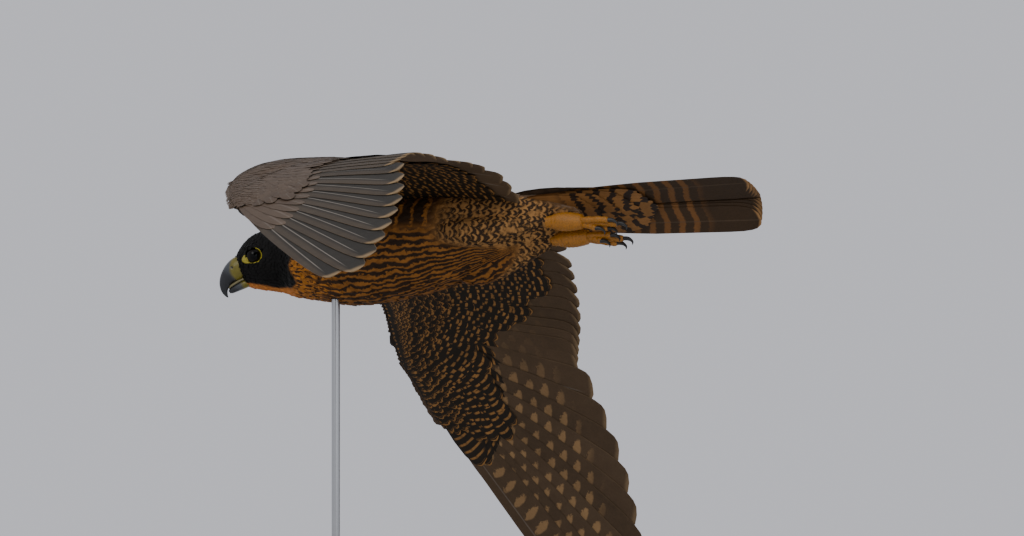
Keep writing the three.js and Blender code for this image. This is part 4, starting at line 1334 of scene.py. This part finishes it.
def bill_material(name, upper):
    """Horn that runs from blue-grey to a black tip, with a waxy yellow cere at the face, and on the upper
    bill painted shade darkening the nostril pits.
    """
    look = bpy.context.scene.falcon_bare
    made = Recipe(name)
    ahead, _, height = made.parts(made.attribute("face"))
    place = made.place()
    drift = made.noise(place, 220.0, 3.0)
    fine = made.noise(place, 1100.0, 3.0)
    if upper:
        bulge = (height + 6.0) * (height + 6.0) * 0.045
        cere = 1 - (ahead + bulge + (drift - 0.5) * 1.6).over(23.6, 26.6)
        black = (ahead - height * 0.6).over(25.5, 34.0)
    else:
        cere = 1 - (ahead + (drift - 0.5) * 2.0).over(18.5, 22.5)
        black = ahead.over(22.0, 29.0)
    horn = made.mix(black, look.horn, look.horn_tip)
    growth = (ahead - height * 0.5).wave(2.1).over(0.4, 1.0) * 0.12
    horn = made.mix(growth, horn, look.horn_tip)
    # Painted shade: the nostril pit on the upper bill is mixed towards the black of the tip, standing in
    # for the shadow in its hollow
    before, above = ahead - NOSTRIL[0], height - NOSTRIL[2]
    off = before * before + above * above
    pit = 1 - off.over(0.5, 1.6) if upper else 0.0
    colour = made.mix(cere, horn, look.cere)
    varied = made.shade(made.mix(pit, colour, look.horn_tip), 0.78 + drift * 0.44)
    bumped = made.bump(fine * cere + drift * 0.5, 0.0002, 0.5)
    rough = 0.36 + cere * 0.12
    return made.finish(Base_Color=varied, Roughness=rough, Normal=bumped, Coat_Weight=0.15)


def hump(values, middle, width):
    """A bell that is 1 at the middle."""
    return np.exp(-(((values - middle) / width) ** 2))


class FALCON_OT_bill(bpy.types.Operator):
    """Shapes the hooked bill with its cere, nostrils, tooth and the pale line of the mouth"""

    bl_idname = "falcon.bill"
    bl_label = "Bill"

    def execute(self, context):
        points, around = bill_rings(UPPER_BILL, 60, 40, True)
        ahead = points[..., 0]
        cut = TOOTH_DEPTH * (hump(ahead, *NOTCH) - 0.7 * hump(ahead, *TOOTH))
        points[..., 2] -= cut * np.minimum(around, 0) ** 2 * (np.abs(points[..., 1]) > 1.2)
        points[..., 1] *= 1 + 0.042 * hump(ahead, *CERE_SWELL)
        for side in (1, -1):
            off = (points - np.array(NOSTRIL) * (1, side, 1)) * (1, 0.5, 1)
            away = np.linalg.norm(off, axis=-1)
            pit = PIT_RIM[2] * hump(away, *PIT_RIM[:2]) - PIT[2] * hump(away, *PIT[:2])
            points[..., 1] += side * pit * (np.sign(points[..., 1]) == side)
        lower, _ = bill_rings(LOWER_BILL, 36, 32, False)
        top, bottom = bill_material("Upper Bill", True), bill_material("Lower Bill", False)
        tube("bill_top", place_head(points), "bill", top, ("bill_upper",), vectors={"face": points})
        tube("bill_bottom", place_head(lower), "bill", bottom, ("bill_lower",), vectors={"face": lower})
        self.mouth()
        self.nostrils()
        return {"FINISHED"}

    def mouth(self):
        """The pale flesh between the two halves of the bill, back to the gape."""
        points, _ = bill_rings(MOUTH, 24, 20, False)
        light, dark = (0.30, 0.27, 0.14), (0.19, 0.15, 0.07)
        flesh = grained("Mouth Flesh", 500.0, 2.0, light, dark, 0.35, (0.0002, 0.5))
        tube("mouth", place_head(points), "bill", flesh)

    def nostrils(self):
        """The small round knob inside each nostril."""
        angle = np.linspace(0, 2 * math.pi, 10, endpoint=False)
        material = grained("Nostril Knob", 900.0, 2.0, (0.12, 0.1, 0.05), (0.2, 0.17, 0.08), 0.5)
        for side, name in ((1, "left"), (-1, "right")):
            rings = np.zeros((len(KNOB), len(angle), 3))
            for ring, (depth, radius) in zip(rings, KNOB):
                ring[:, 0] = NOSTRIL[0] + radius * np.cos(angle)
                ring[:, 1] = side * (NOSTRIL[1] + depth)
                ring[:, 2] = NOSTRIL[2] + radius * np.sin(angle)
            tube(f"nostril_knob_{name}", place_head(rings), "bill", material)


def eye_skirt(angle):
    """How far the bare skin round an eye reaches at an angle from straight ahead, in millimetres."""
    off = (angle + math.radians(2) + math.pi) % (2 * math.pi) - math.pi
    return SKIRT + SKIRT_AHEAD * hump(off, 0.0, SKIRT_SPREAD)


class FALCON_OT_eyes(bpy.types.Operator):
    """Sets the dark eyes in their rings of bare yellow skin, under the brow"""

    bl_idname = "falcon.eyes"
    bl_label = "Eyes"

    def execute(self, context):
        look = context.scene.falcon_bare
        for side, name in ((1, "left"), (-1, "right")):
            polar = np.linspace(0.02, math.pi - 0.02, 28)[:, None]
            turn = np.linspace(0, 2 * math.pi, 36, endpoint=False)[None]
            bulge = EYE_RADIUS + CORNEA * hump(polar, 0.0, 0.5)
            x, z = bulge * np.sin(polar) * np.cos(turn), bulge * np.sin(polar) * np.sin(turn)
            y = side * bulge * np.cos(polar) * np.ones_like(turn)
            centre = np.array(EYE_PLACE) * (1, side, 1) + np.array((0, side * EYE_OUT, 0))
            points = np.stack((x, y, z), axis=-1) + centre
            gaze = np.stack((np.hypot(x, z), x, z), axis=-1)
            made = Recipe(f"Eye {name.title()}")
            radius, _, _ = made.parts(made.attribute("gaze"))
            rays = made.noise(made.attribute("gaze"), 2.2, 3.0)
            iris = made.mix(rays, look.iris, (0.003, 0.002, 0.002))
            colour = made.mix(radius.over(3.2, 3.5), (0.001, 0.001, 0.001), iris)
            colour = made.mix(radius.over(5.2, 5.7), colour, (0.002, 0.002, 0.002))
            glossy = made.finish(Base_Color=colour, Roughness=0.09, Specular_IOR_Level=0.16)
            placed = place_head(points)
            tube(f"eyeball_{name}", placed, "eye", glossy, (f"eye_{name}",), vectors={"gaze": gaze})
            self.ring(side, name, look)
        return {"FINISHED"}

    def ring(self, side, name, look):
        """Bare skin round the eye, widest in front and below."""
        skin = BVHTree.FromObject(bpy.data.objects["skin"], bpy.context.evaluated_depsgraph_get())
        rings = np.zeros((RING_TURNS, RING_SIDES, 3))
        for i in range(RING_TURNS):
            a = 2 * math.pi * i / RING_TURNS
            outer = float(eye_skirt(a))
            for j in range(RING_SIDES):
                t = j / RING_SIDES
                up = t < 0.5
                s = (t if up else 1 - t) * 2
                radius = EYE_OPENING + (outer - EYE_OPENING) * s
                x, z = radius * math.cos(a), radius * math.sin(a)
                ball = EYE_PLACE[1] + math.sqrt(max(EYE_RADIUS**2 - min(radius, 7.3) ** 2, 0.0))
                start = place_head((EYE_PLACE[0] + x, side * 40.0, EYE_PLACE[2] + z))
                hit, _, _, _ = skin.ray_cast(Vector(start), Vector(HEAD_AXES[:, 1] * -side))
                on_skin = abs(to_head(np.array(hit))[1]) if hit is not None else ball
                base = ball * (1 - s) + on_skin * s
                if radius > EYE_OPENING + 0.9:
                    base = max(base, on_skin)
                crown = 0.5 + 1.1 * math.sin(math.pi * min(1, s + 0.1)) if up else -0.8
                rings[i, j] = (EYE_PLACE[0] + x, side * (base + crown), EYE_PLACE[2] + z)
        closed = np.concatenate((rings, rings[:1]))
        faces = ring_faces(RING_TURNS + 1, RING_SIDES, 1, False)
        piece = add_mesh(f"eye_ring_{name}", place_head(closed), faces)
        apply(piece, "WELD", merge_threshold=0.00001)
        apply(piece, "SMOOTH", factor=0.4, iterations=3)
        made = Recipe(f"Eye Ring {name.title()}")
        place = made.place()
        beads = made.cells(place, 1500.0)
        drift = made.noise(place, 300.0, 2.0)
        beaded = made.mix(beads.over(0.3, 0.8) * 0.3, look.eye_ring, look.cere)
        varied = made.shade(beaded, 0.7 + drift * 0.6)
        bumped = made.bump(1 - beads, 0.0002, 0.6)
        ride(piece, made.finish(Base_Color=varied, Roughness=0.5, Normal=bumped))
        facing_out(piece)


TARSUS = (
    (-146, 15.0, -16.5, 2.2),
    (-160, 12.3, -12.6, 2.9),
    (-171, 11.2, -11.2, 5.0),
    (-182, 10.3, -10.2, 7.9),
    (-193, 9.8, -9.8, 7.6),
    (-203, 9.4, -9.8, 5.4),
)
ANKLE = (-199.0, 9.4, -10.0)
TOES = ((-5, 24, 5, 3.0), (0, 34, 4, 3.3), (5, 27, 5, 3.0), (-1.5, 15, 11, 3.0))
# Along a toe: its share of the reach, of the way aside and of the drop, and of the toe's thickness
PADS = (
    (-0.12, 0, 0, 0.9),
    (0.3, 0.5, 0.15, 1),
    (0.45, 0.7, 0.22, 0.88),
    (0.62, 0.85, 0.3, 1),
    (0.75, 1, 0.38, 0.84),
    (0.88, 1, 0.46, 0.94),
    (1, 1, 0.55, 0.62),
)
# Along a claw, from the toe's tip: back, down and radius
CLAW = ((-3, -0.4, 1.75), (2.4, -0.3, 1.75), (5.76, 1.2, 1.35), (8.4, 4.0, 0.8), (8.88, 7.4, 0.15))


def swept(rows, rings, sides, scutes=0):
    """A tube of varying radius along rows of x, y, z and radius, in the bird's millimetres."""
    run = spline(rows, rings)
    tangent = unit(np.gradient(run[:, :3], axis=0))
    aside = unit(np.cross((0.0, 0.0, 1.0), tangent))
    up = np.cross(tangent, aside)
    turn = np.linspace(0, 2 * math.pi, sides, endpoint=False)
    share = np.linspace(0, 1, rings)
    scale = 1.0
    if scutes:
        step = (share * scutes) % 1.0
        scale = 1 + 0.09 * (step[:, None] - 0.4) * np.maximum(np.abs(np.sin(turn)), 0.3)
    radius = run[:, 3, None] * scale
    ends = np.clip(share / 0.06, 0.02, 1) * np.clip((1 - share) / 0.06, 0.02, 1)
    radius = radius * np.sqrt(ends)[:, None]
    points = run[:, None, :3] + aside[:, None] * (np.cos(turn) * radius)[..., None]
    return points + up[:, None] * (np.sin(turn) * radius)[..., None]


class FALCON_OT_feet(bpy.types.Operator):
    """Shapes the yellow feet with their scutes, and the black claws, drawn back under the tail"""

    bl_idname = "falcon.feet"
    bl_label = "Feet"

    def execute(self, context):
        skin = self.skin_material(context.scene.falcon_bare)
        horn = self.claw_material(context.scene.falcon_bare)
        roll = rolled(TAIL_TWIST * 0.8)
        for side, name in ((1, "left"), (-1, "right")):
            flip = np.array((1, side, 1, 1))
            parts = [("tarsus", swept(np.array(TARSUS) * flip, 60, 20, 16), skin)]
            for k, (aside, reach, drop, thick) in enumerate(TOES):
                start = ANKLE[1] + aside * 0.35
                wide = ANKLE[1] + aside - start
                toe = [
                    (ANKLE[0] - reach * t, start + wide * w, ANKLE[2] - drop * d, thick * r)
                    for t, w, d, r in PADS
                ]
                x, y, z, _ = toe[-1]
                claw = [(x - back, y, z - down, radius) for back, down, radius in CLAW]
                parts.append((f"toe_{k}", swept(np.array(toe) * flip, 44, 16, 12), skin))
                parts.append((f"claw_{k}", swept(np.array(claw) * flip, 24, 12), horn))
            for part, points, material in parts:
                nodes = (f"foot_{name}",) if part == "tarsus" else ()
                tube(f"{part}_{name}", place_bird(points @ roll.T), "foot", material, nodes)
        return {"FINISHED"}

    def skin_material(self, look):
        made = Recipe("Scaly Yellow Skin")
        place = made.place()
        scales = made.cells(place, 900.0)
        drift = made.noise(place, 160.0, 3.0)
        colour = made.mix(scales.over(0.35, 0.75) * 0.55, look.foot, look.foot_creases)
        varied = made.shade(colour, 0.74 + drift * 0.5)
        bumped = made.bump(1 - scales, 0.0003, 0.7)
        return made.finish(Base_Color=varied, Roughness=0.48, Normal=bumped)

    def claw_material(self, look):
        pale = (0.03, 0.028, 0.026)
        return grained("Claw Horn", 700.0, 3.0, look.claw, pale, 0.28, (0.0001, 0.4))


# Stand and stage
def turned_part(name, radius, bottom, top, centre, corners, bevel, segments):
    """A cylinder at its size and place, with rounded rims, alone in the selection."""
    bpy.ops.object.select_all(action="DESELECT")
    middle = (*centre, (top + bottom) / 2)
    bpy.ops.mesh.primitive_cylinder_add(
        vertices=corners, radius=radius, depth=top - bottom, location=middle
    )
    piece = bpy.context.active_object
    piece.name = name
    bpy.ops.object.transform_apply(location=True, rotation=True, scale=True)
    rim = {"limit_method": "ANGLE", "angle_limit": BEVEL_ANGLE}
    apply(piece, "BEVEL", width=bevel, segments=segments, **rim)
    return piece


class FALCON_OT_stand(bpy.types.Operator):
    """Turns the stand's wooden base and its steel rod"""

    bl_idname = "falcon.stand"
    bl_label = "Stand"

    def execute(self, context):
        base = turned_part("base", BASE_RADIUS, 0.0, BASE_THICKNESS, (0, 0), 128, BASE_ROUND, 5)
        bpy.ops.object.mode_set(mode="EDIT")
        work = bmesh.from_edit_mesh(base.data)
        for face in work.faces:
            face.select_set(face.normal.z > 0.99)
        bmesh.update_edit_mesh(base.data)
        for thickness, depth in BASE_GROOVE:
            bpy.ops.mesh.inset(thickness=thickness, depth=depth)
        bpy.ops.object.mode_set(mode="OBJECT")
        bpy.ops.object.shade_smooth_by_angle(angle=TURNED_ANGLE)
        ride(base, self.wood(), ("stand_base",))
        low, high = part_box("stand_rod")
        centre = ((low[0] + high[0]) / 2, (low[1] + high[1]) / 2)
        for name, radius, bottom, top in (
            ("rod", (high[0] - low[0]) / 2, low[2], high[2] + ROD_INTO_BODY),
            ("ferrule", FERRULE_RADIUS, low[2] - FERRULE_SINK, low[2] + FERRULE_HEIGHT),
        ):
            piece = turned_part(name, radius, bottom, top, centre, 40, ROD_ROUND, 3)
            bpy.ops.object.shade_smooth_by_angle(angle=TURNED_ANGLE)
            ride(piece, self.steel(name), ("stand_rod",) if name == "rod" else ())
        return {"FINISHED"}

    def wood(self):
        made = Recipe("Dark Varnished Wood")
        x, y, z = made.parts(made.place())
        stretched = made.node("ShaderNodeCombineXYZ", {}, {0: x * 6.0, 1: y * 60.0, 2: z * 60.0})
        bend = made.noise(stretched, 0.6, 2.0)
        rings = (y + bend * 0.03).wave(0.011).over(-0.6, 1.0)
        pores = made.noise(stretched, 9.0, 4.0, 0.7)
        colour = made.mix(rings * 0.6 + pores * 0.3, (0.020, 0.010, 0.006), (0.062, 0.030, 0.015))
        rough = 0.42 + pores * 0.14
        bumped = made.bump(pores, 0.0002, 0.3)
        return made.finish(Base_Color=colour, Roughness=rough, Normal=bumped, Coat_Weight=0.1)

    def steel(self, name):
        made = Recipe(f"Brushed Steel {name.title()}")
        x, y, z = made.parts(made.place())
        drawn = made.node("ShaderNodeCombineXYZ", {}, {0: x * 40.0, 1: y * 40.0, 2: z * 0.6})
        brush = made.noise(drawn, 40.0, 4.0, 0.7)
        colour = made.mix(brush, (0.42, 0.43, 0.44), (0.56, 0.57, 0.58))
        return made.finish(Base_Color=colour, Roughness=0.26 + brush * 0.16, Metallic=1.0)


class FALCON_OT_stage(bpy.types.Operator):
    """Sets a plain pale floor and backdrop, soft lights and the photograph's view"""

    bl_idname = "falcon.stage"
    bl_label = "Stage, Lights and Camera"

    def execute(self, context):
        look = context.scene.falcon_stage
        bpy.ops.object.select_all(action="DESELECT")
        bpy.ops.mesh.primitive_circle_add(vertices=96, radius=FLOOR_RADIUS, fill_type="NGON")
        floor = context.active_object
        floor.name = "floor"
        made = Recipe("Pale Floor")
        floor.data.materials.append(made.finish(Base_Color=look.floor, Roughness=0.9))
        world = bpy.data.worlds.new("Pale Room")
        world.use_nodes = True
        backdrop = world.node_tree.nodes["Background"]
        backdrop.inputs[0].default_value = (*look.backdrop, 1.0)
        backdrop.inputs[1].default_value = look.room
        context.scene.world = world
        for name, place, size, colour in LAMPS:
            data = bpy.data.lights.new(name, "AREA")
            data.shape = "DISK"
            data.size = size
            data.energy = getattr(look, name)
            data.color = colour
            lamp = bpy.data.objects.new(name, data)
            lamp.location = place
            lamp.rotation_euler = (Vector(LIT_PLACE) - Vector(place)).to_track_quat("-Z", "Y").to_euler()
            context.collection.objects.link(lamp)
        lens = bpy.data.cameras.new("camera")
        camera = bpy.data.objects.new("camera", lens)
        across = (FRAME_MIDDLE[0] - BIRD_PIXEL[0]) * PIXEL + BIRD_PLACE[0]
        height = BIRD_PLACE[2] - (FRAME_MIDDLE[1] - BIRD_PIXEL[1]) * PIXEL
        camera.location = (across * MM, -CAMERA_BACK, height * MM)
        camera.rotation_euler = (math.radians(90), 0, 0)
        lens.sensor_width = SENSOR
        lens.lens = SENSOR * (CAMERA_BACK + BIRD_PLACE[1] * MM) / (FRAME_WIDTH * PIXEL * MM)
        lens.clip_end = 60.0
        context.collection.objects.link(camera)
        context.scene.camera = camera
        return {"FINISHED"}


# Settings, panel and registration
def tint(name, description, default):
    words = {"name": name, "description": description, "default": default}
    return FloatVectorProperty(subtype="COLOR", size=3, min=0.0, max=1.0, **words)


def power(name, description, default):
    words = {"name": name, "description": description, "default": default}
    return FloatProperty(min=0.0, unit="POWER", **words)


class FALCON_PG_plumage(bpy.types.PropertyGroup):
    body_tries: IntProperty(
        name="Feather Tries",
        description="Places tried for small feathers on the body",
        default=60000,
        min=1000,
    )
    hood: tint("Hood", "The black of the head and cheeks", (0.0045, 0.004, 0.0035))
    buff: tint("Breast", "Orange-buff ground of the breast and flanks", (0.285, 0.112, 0.02))
    vent: tint("Vent", "Buff ground of the rear and under the tail", (0.38, 0.19, 0.06))
    bars: tint("Bars", "Dark lines and bars on the buff", (0.016, 0.011, 0.008))
    slate: tint("Back", "Slate brown of the back and upper wing", (0.098, 0.063, 0.038))
    slate_edge: tint("Back Edges", "Paler edges of the slate feathers", (0.19, 0.135, 0.09))
    quill_top: tint("Quills Above", "Upper face of the long wing feathers", (0.029, 0.024, 0.017))
    quill_under: tint("Quills Below", "Lower face of the long wing feathers", (0.098, 0.062, 0.034))
    spots: tint("Quill Spots", "Spots on the lower face of the long feathers", (0.33, 0.195, 0.085))
    tips: tint("Tips", "Pale tips of the long feathers", (0.42, 0.28, 0.14))
    shaft: tint("Shafts", "Pale shafts of the long feathers", (0.42, 0.37, 0.31))
    lining: tint("Lining", "Dark ground of the coverts under the wings", (0.018, 0.012, 0.006))
    lining_bars: tint("Lining Bars", "Buff bars of the coverts under the wings", (0.36, 0.17, 0.045))
    tail_buff: tint("Tail Light", "Light bars under the tail", (0.165, 0.068, 0.016))
    tail_tips: tint("Tail Tips", "Pale tips of the tail feathers", (0.42, 0.22, 0.08))
    tail_lining: tint("Tail Coverts", "Ground of the coverts under the tail", (0.25, 0.115, 0.032))
    tail_dark: tint("Tail Dark", "Dark bars under the tail", (0.041, 0.021, 0.007))


class FALCON_PG_bare(bpy.types.PropertyGroup):
    horn: tint("Horn", "Blue-grey of the bill", (0.050, 0.057, 0.065))
    horn_tip: tint("Horn Tip", "Black of the bill's tip", (0.012, 0.013, 0.016))
    eye_ring: tint("Eye Ring", "Bare yellow skin round the eye", (0.40, 0.33, 0.02))
    cere: tint("Cere", "Yellow skin at the bill and round the eye", (0.16, 0.13, 0.006))
    iris: tint("Iris", "Dark brown of the eye", (0.010, 0.006, 0.004))
    foot: tint("Foot", "Yellow skin of the feet", (0.39, 0.145, 0.004))
    foot_creases: tint("Foot Creases", "Darker creases between the scales", (0.20, 0.09, 0.006))
    claw: tint("Claws", "Black horn of the claws", (0.012, 0.012, 0.012))


class FALCON_PG_stage(bpy.types.PropertyGroup):
    backdrop: tint("Backdrop", "Colour of the plain background", (0.62, 0.625, 0.675))
    floor: tint("Floor", "Colour of the plain floor", (0.62, 0.62, 0.62))
    room: FloatProperty(
        name="Room Light",
        description="Strength of the background's light",
        default=1.0,
        min=0.0,
    )
    key: power("Key", "Power of the main light", 22.0)
    fill: power("Fill", "Power of the side light", 6.0)
    rim: power("Rim", "Power of the light from behind", 6.0)


class FALCON_PT_panel(bpy.types.Panel):
    """Lists the steps that build the falcon"""

    bl_label = "Falcon"
    bl_idname = "FALCON_PT_panel"
    bl_space_type = "VIEW_3D"
    bl_region_type = "UI"
    bl_category = "Falcon"

    def draw(self, context):
        column = self.layout.column()
        for operator in OPERATORS:
            column.operator(operator.bl_idname)
        for name, group in SETTINGS:
            for key in group.__annotations__:
                column.prop(getattr(context.scene, name), key)


OPERATORS = (
    FALCON_OT_body,
    FALCON_OT_wings,
    FALCON_OT_tail,
    FALCON_OT_bill,
    FALCON_OT_eyes,
    FALCON_OT_feet,
    FALCON_OT_stand,
    FALCON_OT_stage,
)
SETTINGS = (
    ("falcon_plumage", FALCON_PG_plumage),
    ("falcon_bare", FALCON_PG_bare),
    ("falcon_stage", FALCON_PG_stage),
)


def register():
    for name, group in SETTINGS:
        bpy.utils.register_class(group)
        setattr(bpy.types.Scene, name, PointerProperty(type=group))
    for operator in OPERATORS:
        bpy.utils.register_class(operator)
    bpy.utils.register_class(FALCON_PT_panel)


def unregister():
    bpy.utils.unregister_class(FALCON_PT_panel)
    for operator in reversed(OPERATORS):
        bpy.utils.unregister_class(operator)
    for name, group in reversed(SETTINGS):
        delattr(bpy.types.Scene, name)
        bpy.utils.unregister_class(group)


def main():
    register()
    bpy.ops.falcon.body()
    bpy.ops.falcon.wings()
    bpy.ops.falcon.tail()
    bpy.ops.falcon.bill()
    bpy.ops.falcon.eyes()
    bpy.ops.falcon.feet()
    bpy.ops.falcon.stand()
    bpy.ops.falcon.stage()


if __name__ == "__main__":
    main()
